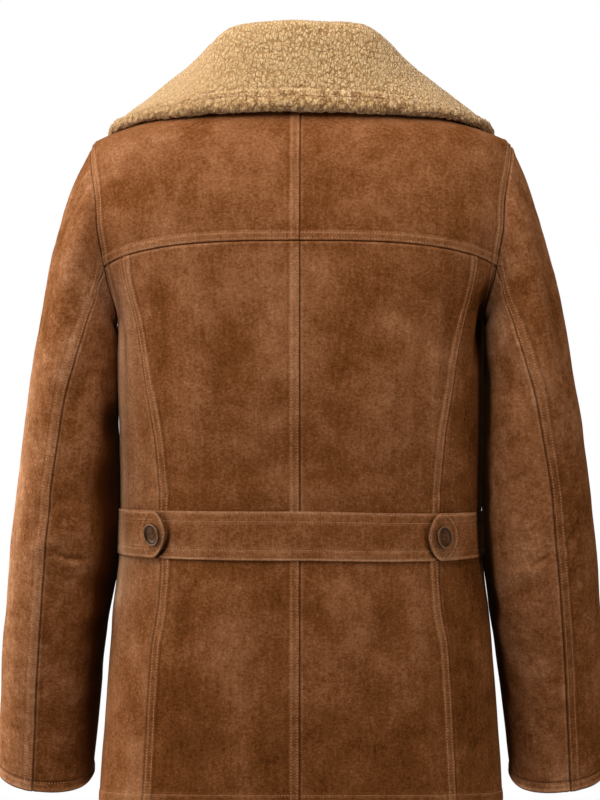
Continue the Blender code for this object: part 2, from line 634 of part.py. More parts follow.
# a button's section from the middle of its face out over the rim and down to its flat back
Turn = namedtuple("Turn", "radius height")
BUTTON = [
    Turn(0.0, 0.60),
    Turn(0.68, 0.62),
    Turn(0.80, 0.92),
    Turn(0.90, 1.00),
    Turn(1.00, 0.72),
    Turn(1.00, 0.38),
    Turn(0.84, 0.0),
    Turn(0.0, 0.0),
]


def add_button(name, place, normal):
    """A round rimmed button with its back at a place, facing along a normal."""
    mesh = bmesh.new()
    points = [mesh.verts.new((turn.radius * BUTTON_RADIUS, 0.0, turn.height * BUTTON_THICK))
              for turn in BUTTON]
    for first, second in zip(points, points[1:]):
        mesh.edges.new((first, second))
    data = bpy.data.meshes.new(name)
    mesh.to_mesh(data)
    mesh.free()
    data.materials.append(bpy.data.materials["horn"])
    button = bpy.data.objects.new(name, data)
    bpy.data.collections["suede_jacket"].objects.link(button)
    turned = button.modifiers.new("turned", "SCREW")
    turned.steps = turned.render_steps = BUTTON_SIDES
    turned.use_merge_vertices = True
    turned.merge_threshold = 0.00001
    turned.use_smooth_shade = True
    facing = Vector(normal).to_track_quat("Z", "Y").to_matrix().to_4x4()
    button.matrix_world = Matrix.Translation(Vector(place)) @ facing


def make_buttons():
    """One button on each tab and a row down the left front."""
    middle = (BELT_BOTTOM + BELT_TOP) / 2.0
    for hand, sign in (("left", 1.0), ("right", -1.0)):
        turn = turn_at_x(TAB_TIP[hand] + TAB_BUTTON[hand], middle, 1)
        point, normal = lifted(turn, middle, TAB_LIFT + REST_GAP)
        flip = np.array([sign, 1.0, 1.0])
        add_button(f"belt_button_{hand}", point * flip, normal * flip)
    for number, level in enumerate(FRONT_BUTTON_LEVELS, start=1):
        point, normal = lifted(-math.pi / 2.0, level, BUTTON_CLEAR)
        add_button(f"front_button_{number}", point, normal)


def main():
    for old in list(bpy.data.objects):
        bpy.data.objects.remove(old, do_unlink=True)
    bpy.context.scene.collection.children.link(bpy.data.collections.new("suede_jacket"))
    for name, finish in FINISHES.items():
        add_material(name, finish)
    make_backs()
    make_fronts()
    make_sleeves()
    make_collar()
    make_belt()
    make_tab("left")
    make_tab("right")
    make_buttons()


main()
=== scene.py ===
"""Looks of the suede jacket: panels of sewn suede with ridged seams, topstitching and creases, a curly
fleece collar, a half belt with buttoned tabs, and a pale studio.

A place on the body is a turn (angle round it, 0 at the wearer's left side, 90 degrees at the centre
back, -90 at the centre front) and a level (height of its ring at the side, metres). A place on a sleeve
is an angle (from its outer side towards the back) and a station (0 at the armhole, 1 where the cap
ends, ARM_END at the cuff). The wearer faces -Y and the wearer's left is +X.
"""
import itertools
import math
from collections import namedtuple

import bmesh
import bpy
import numpy as np
from mathutils import Matrix, Vector


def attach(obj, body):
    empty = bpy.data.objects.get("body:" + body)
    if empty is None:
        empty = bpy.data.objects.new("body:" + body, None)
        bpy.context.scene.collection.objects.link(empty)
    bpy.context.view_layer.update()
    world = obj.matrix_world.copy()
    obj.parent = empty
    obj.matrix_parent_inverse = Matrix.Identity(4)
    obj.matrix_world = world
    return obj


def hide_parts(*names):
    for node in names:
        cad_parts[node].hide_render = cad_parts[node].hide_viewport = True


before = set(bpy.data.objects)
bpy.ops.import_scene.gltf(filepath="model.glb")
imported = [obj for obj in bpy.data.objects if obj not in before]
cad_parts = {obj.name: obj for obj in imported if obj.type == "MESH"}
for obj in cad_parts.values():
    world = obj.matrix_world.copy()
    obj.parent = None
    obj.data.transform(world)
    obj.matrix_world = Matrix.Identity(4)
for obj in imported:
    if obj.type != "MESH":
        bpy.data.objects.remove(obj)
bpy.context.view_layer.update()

# ---- the jacket's sizes, metres ----
SIDES = {"left": 1.0, "right": -1.0}
WALL = 0.0022
BELT_WALL = 0.0020
SEAM_LAP = 0.0003            # how far each piece runs on under its neighbour, down in the seam
REST_GAP = 0.0003            # between layers that lie on each other

HEM = -0.770
BELT_BOTTOM = -0.498
BELT_TOP = -0.450
BELT_MIDDLE = (BELT_BOTTOM + BELT_TOP) / 2.0
UNDERARM = -0.245
SHOULDER_TIP = -0.053
NECK = 0.0
BODY_RANGE = (HEM, NECK)
YOKE_SHARE = 6.0 / 9.0       # how far down the back of the armhole the yoke's seam meets it
ARMHOLE_MIDDLE = (SHOULDER_TIP + UNDERARM) / 2.0
ARMHOLE_HALF = (SHOULDER_TIP - UNDERARM) / 2.0
ARMHOLE_BACK = 0.076         # how far the armhole reaches behind and before the side line
ARMHOLE_FRONT = 0.084
FRONT_LAP = 0.030
BREAK = -0.262               # level where the fronts begin to open
NECK_EDGE = 0.086            # how far from the middle each front's edge meets the neck
UNDERLAP_DROP = 0.0030
RING_BOW = 1.7               # how sharply a ring dips towards the middle of the back and the front

# rings of the body: level, z at the back and the front, half width, depth behind and before the side line,
# and squareness behind and before it
RINGS = np.array([
    (HEM, -0.763, -0.772, 0.2215, 0.142, 0.150, 2.5, 2.5),
    (-0.660, -0.656, -0.660, 0.2140, 0.139, 0.146, 2.5, 2.5),
    (-0.560, -0.561, -0.560, 0.2060, 0.134, 0.141, 2.5, 2.5),
    (BELT_BOTTOM, -0.502, -0.498, 0.1995, 0.128, 0.137, 2.5, 2.5),
    (BELT_TOP, -0.450, -0.450, 0.1985, 0.127, 0.137, 2.5, 2.5),
    (-0.330, -0.328, -0.333, 0.2005, 0.136, 0.145, 2.6, 2.6),
    (-0.290, -0.287, -0.297, 0.2008, 0.137, 0.147, 2.65, 2.55),
    (UNDERARM, -0.240, -0.257, 0.2005, 0.137, 0.149, 2.8, 2.5),
    (-0.200, -0.164, -0.220, 0.2195, 0.134, 0.147, 3.0, 2.3),
    (-0.149, -0.122, -0.183, 0.2355, 0.128, 0.139, 3.1, 2.3),
    (-0.100, -0.086, -0.155, 0.2378, 0.118, 0.127, 3.0, 2.4),
    (SHOULDER_TIP, -0.052, -0.130, 0.2290, 0.104, 0.113, 2.7, 2.45),
    (-0.025, -0.028, -0.106, 0.1680, 0.090, 0.100, 2.4, 2.4),
    (NECK, -0.012, -0.085, 0.0950, 0.075, 0.088, 2.2, 2.2),
])

# the princess seam: level and reach from the middle
PRINCESS = np.array([
    (HEM, 0.1685),
    (-0.668, 0.1630),
    (-0.600, 0.1590),
    (-0.550, 0.1513),
    (-0.505, 0.1488),
    (-0.440, 0.1506),
    (-0.390, 0.1536),
    (-0.315, 0.1650),
    (-0.250, 0.1760),
    (-0.200, 0.1909),
    (NECK, 0.0500),
])

# the sleeve below its cap: station, x, y and z of its middle, half width across and half depth
ARM = np.array([
    (1.00, 0.2520, 0.002, -0.300, 0.0460, 0.0820),
    (1.60, 0.2535, 0.004, -0.360, 0.0500, 0.0780),
    (2.40, 0.2580, 0.004, -0.440, 0.0550, 0.0730),
    (3.30, 0.2668, -0.006, -0.530, 0.0565, 0.0680),
    (4.20, 0.2752, -0.028, -0.618, 0.0560, 0.0640),
    (5.00, 0.2810, -0.052, -0.695, 0.0555, 0.0600),
    (5.55, 0.2850, -0.069, -0.747, 0.0552, 0.0575),
])
ARM_END = ARM[-1][0]
ARM_RANGE = (0.0, ARM_END)
ARM_SQUARE = 2.2
SLEEVE_START_REACH = 0.085
SLEEVE_START_DIP = 38.0
SLEEVE_START_SPREAD = 0.25
SLEEVE_END_AIM = 1.2
SLEEVE_END_PULL = 0.90
ELBOW_SWELL = {"left": -0.0015, "right": 0.0055}
ELBOW_STATION = 2.6
ELBOW_SPAN = 1.6
# how much flatter the outer side of each sleeve's head is, and where
HEAD_DRAW = {"left": 0.0042, "right": 0.0040}
HEAD_STATION = {"left": 0.72, "right": 0.50}
HEAD_SPAN = {"left": 0.42, "right": 0.55}
HEAD_START = 0.12
# how far the inside of each sleeve rests in towards the body: station, left and right
INNER_LEAN = np.array([
    (0.00, 0.0000, 0.0000),
    (0.18, 0.0020, 0.0036),
    (0.30, 0.0072, 0.0096),
    (0.45, 0.0092, 0.0112),
    (0.60, 0.0088, 0.0106),
    (0.80, 0.0072, 0.0084),
    (1.00, 0.0058, 0.0058),
    (1.30, 0.0046, 0.0046),
    (1.60, 0.0040, 0.0040),
    (2.00, 0.0042, 0.0042),
    (2.40, 0.0062, 0.0050),
    (2.80, 0.0078, 0.0070),
    (3.00, 0.0082, 0.0086),
    (3.30, 0.0048, 0.0076),
    (3.60, 0.0020, 0.0062),
    (4.20, 0.0006, 0.0026),
    (5.00, -0.0016, -0.0006),
    (5.55, -0.0034, -0.0030),
])
RIDGE_START = 1.2
RIDGE_RATE = 5.0
RIDGE_REACH = 0.125

# the sleeve's hind seam: station and angle in degrees
HIND_SEAM = np.array([
    (0.00, 120.0),
    (0.12, 123.5),
    (0.35, 121.0),
    (0.70, 109.0),
    (1.00, 97.0),
    (1.60, 83.0),
    (2.40, 76.0),
    (3.30, 75.5),
    (4.20, 76.0),
    (ARM_END, 77.0),
])
FORE_SEAM_ANGLE = 240.0

# the collar from the centre back to its front end: station, turn (degrees) and level where it is sewn on,
# height and lean of its stand, turn and level of its edge, bulge, thickness of its rolled edge and width
# of the roll
COLLAR = np.array([
    (0.0, 90.0, 0.000, 0.0822, 0.020, 90.0, -0.0125, 0.000, 0.0185, 0.0165),
    (1.0, 60.0, 0.000, 0.0800, 0.020, 66.0, -0.0138, 0.000, 0.0185, 0.0160),
    (1.5, 44.0, 0.000, 0.0748, 0.022, 50.0, -0.0165, 0.000, 0.0180, 0.0155),
    (2.0, 28.0, 0.000, 0.0570, 0.018, 34.0, -0.0205, 0.000, 0.0165, 0.0140),
    (2.5, 14.0, 0.000, 0.0420, 0.014, 19.0, -0.0260, 0.0005, 0.0122, 0.0105),
    (3.0, 0.0, 0.000, 0.0330, 0.014, 4.0, -0.0345, 0.0015, 0.0098, 0.0075),
    (3.5, -14.0, 0.000, 0.0300, 0.018, -11.0, -0.0430, 0.0035, 0.0108, 0.0075),
    (4.0, -26.0, 0.000, 0.0300, 0.022, -27.0, -0.0600, 0.006, 0.0145, 0.0100),
    (5.0, -40.0, -0.035, 0.0280, 0.022, -44.0, -0.1000, 0.008, 0.0165, 0.0130),
    (6.0, -60.0, -0.080, 0.0240, 0.018, -60.0, -0.1480, 0.005, 0.0170, 0.0140),
    (7.0, -72.0, -0.125, 0.0200, 0.012, -73.0, -0.1900, 0.003, 0.0165, 0.0135),
    (8.0, -85.0, -0.167, 0.0150, 0.004, -83.0, -0.2080, 0.000, 0.0150, 0.0120),
])
COLLAR_END = COLLAR[-1][0]
COLLAR_THICK = 0.0125
COLLAR_SEWN = 0.25           # share of its thickness where it is sewn on
NECK_CLEAR = 0.0009
EDGE_CLEAR = 0.0026
NECK_CORNER = 4.0            # station from which it is sewn to the front's edge
FRONT_START = 3.0            # the stand turns from upright to outward between these stations
FRONT_END = 6.0
STAND_END = 0.7              # pulls of the curves that make the stand and the fall
FALL_START = 0.35
FALL_END = 0.55

BUTTON_RADIUS = 0.0127
BUTTON_THICK = 0.0042
BUTTON_CLEAR = 0.0008
FRONT_BUTTON_LEVELS = (-0.290, -0.395, -0.500, -0.605)
TAB_TIP = {"left": 0.1412, "right": 0.1362}
TAB_POINT = 0.0130
TAB_ROUND = (1.7, 0.60)          # how its point is rounded
TAB_BLUNT = 0.10                 # the half width left at its very tip, as a share
TAB_BUTTON = {"left": 0.0108, "right": 0.0126}
TAB_RING = 0.0040
TAB_CLOSE = 0.35                 # where the stitching round the button turns in from the tab's edges
TAB_CLOSE_HALF = 0.90            # its half width, as a share of the tab's
TAB_CLOSE_BEND = 2.2
TAB_CLIMB = (0.35, 0.75)         # where the tab climbs on to the belt's end, as shares of the way to its tip
TAB_COLUMNS = 60                 # of its grid up to the corners of its point
TAB_TIP_RUN = 0.10               # how far round the body, in radians, the lift of its tip begins
TAB_TIP_LIFT = {"left": 0.0044, "right": 0.0020}
TAB_TIP_SHADE = {"left": 1.90, "right": 1.20}
BELT_LIFT = REST_GAP + BELT_WALL
TAB_LIFT = BELT_LIFT + 2.0 * REST_GAP + BELT_WALL
BELT_SAG = {"left": 0.0, "right": 0.0028}    # how much lower the belt's end sits on each side
BELT_SAG_END = 0.165
BELT_END = 0.1655                # how far from the middle the belt runs, under the tabs
BUTTON_SHANK = 0.0024            # of wound thread, which lets the belt's buttons tip outwards
BUTTON_TILT = {"left": 14.0, "right": 18.0}
BUTTON_DROOP = {"left": 0.17, "right": -0.06}
BUTTON_SPIN = {"left": 12.0, "right": -20.0}
FRONT_SPIN = 10.0                # more for each button down the front

SMALL = 0.0005
SMALL_STATION = 0.01

# ---- sewing and cloth ----
CLOTH_UNEVEN = 0.0008
SLEEVE_UNEVEN = 0.0014
CELL = 0.0050                # grid of the plain cloth between seams
NEAR_SHARE = 0.42            # of a narrow piece that the close steps at each edge may take
# steps of the grid beside a seam or edge
SEAM_STEPS = np.array([0.0, 0.0003, 0.0008, 0.0015, 0.0023, 0.0032, 0.0042, 0.0054, 0.0066, 0.0077,
                       0.0087, 0.0097, 0.0108, 0.0121, 0.0140, 0.0170, 0.0210])
CROSSING_GAP = 0.004         # rows of stitches stop this far from the yoke's seam on the centre seam
ARMHOLE_GAP = 0.002          # and on the armhole
LAPEL_ROWS = 0.05            # how far up the turned lapel the front's rows run on
STITCH_PITCH = 0.0032
STITCH_SHARE = 0.74          # of the pitch that shows as thread
THREAD = 0.00085
THREAD_RISE = 0.15           # how far a stitch stands up, as a share of its thread

RIDGE_WIDTH = 0.0104         # seam allowance turned to one side and topstitched there
RIDGE_HEIGHT = 0.0010
RIDGE_ROWS = (0.0023, 0.0087)
HEM_WIDTH = 0.0125
HEM_HEIGHT = 0.0007
HEM_ROWS = (0.0022, 0.0122)
BELT_WIDTH = 0.0130
BELT_ROWS = (0.0022, 0.0105)
BELT_CELL = 0.0018           # its grid along it, and up it
BELT_STEP = 0.0030
BELT_UNEVEN = 0.0003
ELBOW_ZONE = (2.45, 3.35)    # stations where the elbow's creases need close rows
SLEEVE_GUIDES = {"upper": 40.0, "under": 130.0}      # angles, in degrees, along which rows are spaced
BELT_SHADE_ZONE = (BELT_BOTTOM - 0.010, BELT_BOTTOM + 0.002)     # and levels where the belt's shade does

# ---- painted light and shade, and mottling ----
OUTER_LIGHT = {"left": 0.60, "right": 0.16}       # painted light down the outer side of each sleeve
OUTER_ZONE = (0.65, 1.00)        # shares of the half width where it begins and is full
OUTER_LEVELS = (-0.62, -0.42)    # it fades by half between these
PIT_LIGHT = {"left": 0.60, "right": 0.50}         # painted light on the sleeve by the armpit
PIT_ZONE = (0.3, 0.9)
PIT_LEVEL = {"left": -0.225, "right": -0.232}
PIT_SPAN = {"left": 0.035, "right": 0.042}
SIDE_LIGHT_AND_SHADE = {"left": 0.38, "right": -0.34}       # painted light on the left and painted shade on the right, down the back beside each sleeve
SIDE_ZONE = (0.80, 0.95)
# painted light along the very edge of the body beside each sleeve
SIDE_EDGE_LIGHT = {"left": 1.00, "right": 0.00}
SIDE_EDGE_ZONE = (0.935, 0.985)
SLEEVE_BELOW = (-0.580, -0.540)  # the sleeve hangs beside the body between these levels
SLEEVE_ABOVE = (-0.225, -0.190)
YOKE_LIGHT = 0.12                 # painted light on the yoke below the collar
YOKE_LEVELS = (-0.110, -0.050)
FOLD_LIGHT_AND_SHADE = 0.35 / 0.004         # painted light on a crease that stands up and painted shade in one that sinks, for each metre of its height
SLEEVE_MOTTLING = 0.42
GLOOM_UNEVEN = 0.06              # how much the edge of the shade wanders, and over what lumps
GLOOM_LUMPS = 0.024
BELT_SHADE = 1.35
BELT_SHADE_FADE = (0.0004, 0.0030)       # below the belt
BELT_SHADE_UNDER = (-0.012, -0.008)      # and up under it
TIP_SHADE_PAST = (0.0008, 0.0024)        # how far past a tab's tip its shade lies, and its width
TIP_SHADE_SLOPE = (0.62, 0.55)           # its share at the belt's middle, and how much more it is lower down


# ---- curves through tables ----
def smooth_through(at, values, x):
    """Read a smooth curve through the points (at, values), never past them, at x."""
    steps = np.diff(at)
    rises = np.diff(values) / steps
    slopes = np.zeros_like(values)
    slopes[0], slopes[-1] = rises[0], rises[-1]
    same = rises[:-1] * rises[1:] > 0.0
    total = np.where(same, rises[:-1] + rises[1:], 1.0)
    slopes[1:-1] = np.where(same, 2.0 * rises[:-1] * rises[1:] / total, 0.0)
    x = np.clip(x, at[0], at[-1])
    i = np.clip(np.searchsorted(at, x) - 1, 0, len(steps) - 1)
    run = steps[i]
    return hermite(values[i], values[i + 1], slopes[i] * run, slopes[i + 1] * run, (x - at[i]) / run)


def column(table, number, x):
    """One column of a table as a smooth curve of its first column."""
    return smooth_through(table[:, 0], table[:, number], x)


def hermite(start, end, leave, arrive, t):
    """A curve from start to end with the given speeds at its ends."""
    return (start * (1 + 2 * t) * (1 - t) ** 2 + end * t * t * (3 - 2 * t)
            + leave * t * (1 - t) ** 2 - arrive * t * t * (1 - t))


def together(u, v):
    """Two numbers or arrays as arrays of one shape."""
    return np.broadcast_arrays(np.asarray(u, float), np.asarray(v, float))


def runs_of(surface, u, v, v_range):
    """How a surface runs on at places of it: with u, with v, and the step of v that was taken."""
    low, high = np.clip(v - SMALL, *v_range), np.clip(v + SMALL, *v_range)
    return surface(u + SMALL, v) - surface(u - SMALL, v), surface(u, high) - surface(u, low), high - low


def unit(vectors):
    """Each vector at length one."""
    return vectors / np.maximum(np.linalg.norm(vectors, axis=-1, keepdims=True), 1e-12)


def ease(low, high, x):
    """Rises smoothly from 0 at low to 1 at high."""
    t = np.clip((x - low) / (high - low), 0.0, 1.0)
    return t * t * (3.0 - 2.0 * t)


def bump(x, middle, width):
    """A smooth hump of height one."""
    return np.exp(-((x - middle) / width) ** 2)


# ---- the body form ----
def ring_sizes(level, behind):
    """The ring of a level behind or before the side line: middle z, half width, depth, squareness."""
    middle_z, depth, square = (np.where(behind, column(RINGS, back, level), column(RINGS, front, level))
                               for back, front in ((1, 2), (4, 5), (6, 7)))
    return middle_z, column(RINGS, 3, level), depth, square


def body(turn, level):
    """The point of the body's outer face at a turn (radians) round the ring of a level."""
    turn, level = together(turn, level)
    across, along = np.cos(turn), np.sin(turn)
    middle_z, half_width, depth, square = ring_sizes(level, along > 0.0)
    reach = (np.abs(across / half_width) ** square + np.abs(along / depth) ** square) ** (-1 / square)
    share = np.abs(reach * along / depth) ** RING_BOW
    return np.stack([reach * across, reach * along, level + (middle_z - level) * share], axis=-1)


def body_normal(turn, level):
    """The direction out of the body's face."""
    round_it, up, _ = runs_of(body, *together(turn, np.clip(level, *BODY_RANGE)), BODY_RANGE)
    return unit(np.cross(round_it, up))


def turn_at_x(x, level, side):
    """The turn where the ring of a level is x from the middle, on the back (1) or front (-1)."""
    _, half_width, depth, square = ring_sizes(level, side > 0)
    share = np.clip(1.0 - np.abs(x / half_width) ** square, 0.0, 1.0)
    return np.arctan2(side * depth * share ** (1.0 / square), x)


def turn_at_y(y, level):
    """The turn on the wearer's left where the ring of a level is y behind the side line."""
    _, half_width, depth, square = ring_sizes(level, y > 0.0)
    share = np.clip(1.0 - np.abs(y / depth) ** square, 0.0, 1.0)
    return np.arctan2(y, half_width * share ** (1.0 / square))


def armhole_angle(level):
    """The angle down round the armhole from the shoulder tip, radians, at a level."""
    return np.arccos(np.clip((level - ARMHOLE_MIDDLE) / ARMHOLE_HALF, -1.0, 1.0))


def armhole_level(angle):
    """The level at an angle down round the armhole."""
    return ARMHOLE_MIDDLE + ARMHOLE_HALF * np.cos(angle)


YOKE_LEVEL = float(armhole_level(math.pi * YOKE_SHARE))


def centre_back(level):
    """The seam down the middle of the back."""
    return np.full_like(level, math.pi / 2.0)


def princess(level):
    """The princess seam, from the armhole down to the hem."""
    return turn_at_x(column(PRINCESS, 1, level), level, 1)


def side_back(level):
    """Side seam, back of the armhole, then shoulder seam."""
    return turn_at_y(ARMHOLE_BACK * np.sin(armhole_angle(level)), level)


def side_front(level):
    """Side seam, front of the armhole, then shoulder seam."""
    return turn_at_y(-ARMHOLE_FRONT * np.sin(armhole_angle(level)), level)


def front_edge(level):
    """The lap of the left front, then the neck edge rising to the shoulder."""
    rise = np.clip((level - BREAK) / (NECK - BREAK), 0.0, 1.0)
    return turn_at_x(-FRONT_LAP + (NECK_EDGE + FRONT_LAP) * rise, level, -1)


def underlap(turn, level):
    """How far the right front lies inside the body's face, so that the left one closes over it."""
    x = body(turn, level)[..., 0]
    return UNDERLAP_DROP * ease(0.0, 1.0, (2.0 * FRONT_LAP - x) / FRONT_LAP)


# ---- the sleeve form ----
def arm_middle(station):
    """The middle of the sleeve's tube at a station."""
    return np.stack([column(ARM, number, station) for number in (1, 2, 3)], axis=-1)


def arm_tube(angle, station):
    """A point of the left sleeve below the cap, at an angle round it from its outer side."""
    angle, station = together(angle, station)
    down = unit(arm_middle(station + SMALL_STATION) - arm_middle(station - SMALL_STATION))
    across = unit(np.array([1.0, 0.0, 0.0]) - down[..., :1] * down)
    deep = np.cross(across, down)
    cosine, sine = np.cos(angle), np.sin(angle)
    reach = (np.abs(cosine) ** ARM_SQUARE + np.abs(sine) ** ARM_SQUARE) ** (-1.0 / ARM_SQUARE)
    return (arm_middle(station) + across * (column(ARM, 4, station) * reach * cosine)[..., None]
            + deep * (column(ARM, 5, station) * reach * sine)[..., None])


def armhole_body(angle):
    """The armhole's seam line, at an angle round it from the shoulder tip towards the back."""
    depth = np.where(np.sin(angle) > 0.0, ARMHOLE_BACK, ARMHOLE_FRONT)
    level = armhole_level(angle)
    return turn_at_y(depth * np.sin(angle), level), level


def sleeve_start(angle):
    """The direction in which the sleeve leaves the armhole."""
    dip = math.radians(SLEEVE_START_DIP)
    return unit(np.stack([np.full_like(angle, math.cos(dip)), SLEEVE_START_SPREAD * np.sin(angle),
                          np.full_like(angle, -math.sin(dip))], axis=-1))


def sleeve(angle, station):
    """A point of the left sleeve: stations 0 to 1 are the cap, and from 1 on it is the arm's tube."""
    angle, station = together(angle, station)
    cap = np.clip(station, 0.0, 1.0)[..., None]
    start, end = body(*armhole_body(angle)), arm_tube(angle, 1.0)
    drop = np.linalg.norm(end - start, axis=-1, keepdims=True)
    early = sleeve_start(angle) * np.minimum(SLEEVE_START_REACH, drop)
    late = unit(arm_tube(angle, SLEEVE_END_AIM) - end) * drop * SLEEVE_END_PULL
    curve = hermite(start, end, early, late, cap)
    return np.where(station[..., None] < 1.0, curve, arm_tube(angle, np.maximum(station, 1.0)))


def sleeve_normal(angle, station):
    """The direction out of the sleeve; where the seam is a ridge it starts as the body's own."""
    angle, station = together(angle, np.clip(station, *ARM_RANGE))
    round_it, down, _ = runs_of(sleeve, angle, station, ARM_RANGE)
    out = unit(np.cross(down, round_it))
    shoulder = body_normal(*armhole_body(angle))
    below = -np.sum(sleeve_start(angle) * shoulder, axis=-1)
    lean = (np.clip(RIDGE_START + RIDGE_RATE * below, 0.0, 1.0)
            * np.clip(1.0 - station / RIDGE_REACH, 0.0, 1.0))
    return unit(out * (1.0 - lean[..., None]) + shoulder * lean[..., None])


def hind_seam(station):
    """The sleeve's seam towards the back, with its ridge."""
    return np.radians(column(HIND_SEAM, 1, station))


def fore_seam(station):
    """The sleeve's seam towards the front."""
    return np.full_like(station, math.radians(FORE_SEAM_ANGLE))


def fore_seam_before(station):
    """The same seam, one turn back, where the upper sleeve begins."""
    return fore_seam(station) - 2.0 * math.pi


# ---- the collar form ----
def collar_line(station, place):
    """The middle of the collar's thickness: place 0 at the neck seam, 1 on top, 2 at the outer edge."""
    neck_level = column(COLLAR, 2, station)
    on_front = front_edge(np.minimum(neck_level, 0.0))
    neck_turn = np.where(station > NECK_CORNER, on_front, np.radians(column(COLLAR, 1, station)))
    edge_turn, edge_level = np.radians(column(COLLAR, 5, station)), column(COLLAR, 6, station)
    out, edge_out = body_normal(neck_turn, neck_level), body_normal(edge_turn, edge_level)
    front = np.clip((station - FRONT_START) / (FRONT_END - FRONT_START), 0.0, 1.0)[..., None]
    up = unit(np.array([0.0, 0.0, 1.0]) * (1.0 - front) + out * front)
    neck = body(neck_turn, neck_level) + up * NECK_CLEAR
    edge_lift = column(COLLAR, 8, station)[..., None] / 2.0 + EDGE_CLEAR
    edge = body(edge_turn, edge_level) + edge_out * edge_lift
    away = edge - neck
    away = unit(away - up * np.sum(away * up, axis=-1, keepdims=True))
    rise, lean = column(COLLAR, 3, station)[..., None], column(COLLAR, 4, station)[..., None]
    crest = neck + up * rise + away * lean
    fall = np.linalg.norm(edge - crest, axis=-1, keepdims=True)
    along = unit(away - edge_out * np.sum(away * edge_out, axis=-1, keepdims=True))
    place = np.asarray(place, float)[..., None]
    stand_part = hermite(neck, crest, up * rise, away * rise * STAND_END, np.clip(place, 0.0, 1.0))
    down = np.clip(place - 1.0, 0.0, 1.0)
    fall_part = hermite(crest, edge, away * fall * FALL_START, along * fall * FALL_END, down)
    fall_part = fall_part + edge_out * column(COLLAR, 7, station)[..., None] * np.sin(math.pi * down)
    return np.where(place <= 1.0, stand_part, fall_part)


# ---- surfaces that pieces are cut from ----
class Form:
    """A surface: point(u, v) on its outer face and normal(u, v) out of it, on the wearer's left or right."""

    def __init__(self, point, normal, v_range, hand="left", lift=None, swell=None):
        self.on_left, self.normal_on_left = point, normal
        self.v_range = v_range
        self.flip = np.array([SIDES[hand], 1.0, 1.0])
        self.turned = hand == "right"
        self.lift, self.swell = lift, swell

    def point(self, u, v):
        at = self.on_left(u, v)
        if self.lift is not None:
            at = at + self.normal_on_left(u, v) * np.asarray(self.lift(u, v))[..., None]
        if self.swell is not None:
            at = at + np.array([1.0, 0.0, 0.0]) * self.swell(u, v)[..., None]
        return at * self.flip

    def normal(self, u, v):
        return self.normal_on_left(u, v) * self.flip

    def beside(self, u, v, distance):
        """The places beside a line of places, at a distance to the left of its run seen from outside."""
        for _ in range(2):
            at, out = self.point(u, v), self.normal(u, v)
            run = unit(np.gradient(at, axis=0))
            aim = np.cross(out, run) * (distance / 2.0)
            by_u, by_v, step = runs_of(self.point, u, v, self.v_range)
            du, dv = by_u / (2.0 * SMALL), by_v / step[..., None]
            uu, uv, vv = (np.sum(a * b, axis=-1) for a, b in ((du, du), (du, dv), (dv, dv)))
            au, av = np.sum(aim * du, axis=-1), np.sum(aim * dv, axis=-1)
            spread = np.maximum(uu * vv - uv * uv, 1e-12)
            u = u + (au * vv - av * uv) / spread
            v = np.clip(v + (av * uu - au * uv) / spread, *self.v_range)
        return u, v


def body_form(hand, lift=None):
    """The body on one side, or a layer lifted from it."""
    return Form(body, body_normal, BODY_RANGE, hand, lift)


def belt_form():
    """The layer that the belt lies in."""
    return body_form("left", lambda u, v: np.full(np.shape(u), BELT_LIFT))


def front_form(hand):
    """The right front sinks under the left one towards its edge."""
    return body_form(hand, (lambda u, v: -underlap(u, v)) if hand == "right" else None)


def sleeve_form(hand):
    """The sleeve, fuller or flatter outside its elbow."""
    def swell(angle, station):
        span = bump(station, ELBOW_STATION, ELBOW_SPAN)
        inward = column(INNER_LEAN, 1 if hand == "left" else 2, station)
        head = ease(0.0, HEAD_START, station) * bump(station, HEAD_STATION[hand], HEAD_SPAN[hand])
        outward = ELBOW_SWELL[hand] * span - HEAD_DRAW[hand] * head
        cosine = np.cos(angle)
        return outward * np.clip(cosine, 0.0, 1.0) - inward * np.clip(-cosine, 0.0, 1.0)
    return Form(sleeve, sleeve_normal, ARM_RANGE, hand, swell=swell)


# ---- noise and distances ----
LATTICE_SIDE = 32
LATTICE = np.random.default_rng(7).random((LATTICE_SIDE,) * 3)


def soft_noise(points, size, shift=0.0):
    """Smooth noise from -1 to 1 with lumps of a size."""
    at = points / size + shift
    cell = np.floor(at).astype(int)
    t = at - cell
    t = t * t * (3.0 - 2.0 * t)
    total = 0.0
    for corner in itertools.product((0, 1), repeat=3):
        value = LATTICE[tuple(np.moveaxis((cell + corner) % LATTICE_SIDE, -1, 0))]
        total = total + value * np.prod(np.abs(1 - np.array(corner) - t), axis=-1)
    return total * 2.0 - 1.0


def lengths(points, axis=0):
    """How far along its line each point is, for one line or for a grid of them along an axis."""
    steps = np.linalg.norm(np.diff(points, axis=axis), axis=-1)
    return np.insert(np.cumsum(steps, axis=axis), 0, 0.0, axis=axis)


def from_line(points, line):
    """How far each point is from a line, and how far along the line that is."""
    flat = points.reshape(-1, 3)
    square = np.sum(line * line, axis=1)[None, :] - 2.0 * flat @ line.T
    nearest = np.argmin(square, axis=1)
    run = lengths(line)
    distance = np.full(len(flat), np.inf)
    place = np.zeros(len(flat))
    for step in (-1, 0):
        i = np.clip(nearest + step, 0, len(line) - 2)
        start, edge = line[i], line[i + 1] - line[i]
        t = np.clip(np.sum((flat - start) * edge, axis=1) / np.sum(edge * edge, axis=1), 0.0, 1.0)
        off = np.linalg.norm(flat - start - edge * t[:, None], axis=1)
        nearer = off < distance
        distance = np.where(nearer, off, distance)
        place = np.where(nearer, run[i] + t * (run[i + 1] - run[i]), place)
    return distance.reshape(points.shape[:-1]), place.reshape(points.shape[:-1])


# ---- what a seam, hem or edge does to the cloth beside it ----
def rounded(distance, radius, drop):
    """An edge that turns down round a radius."""
    t = np.clip(1.0 - distance / radius, 0.0, 1.0)
    return -drop * (1.0 - np.sqrt(1.0 - t * t))


def humps(distance, table):
    """The sum of humps, each with a height, a distance from the line and a width."""
    return sum((height * bump(distance, middle, width) for height, middle, width in table), 0.0 * distance)


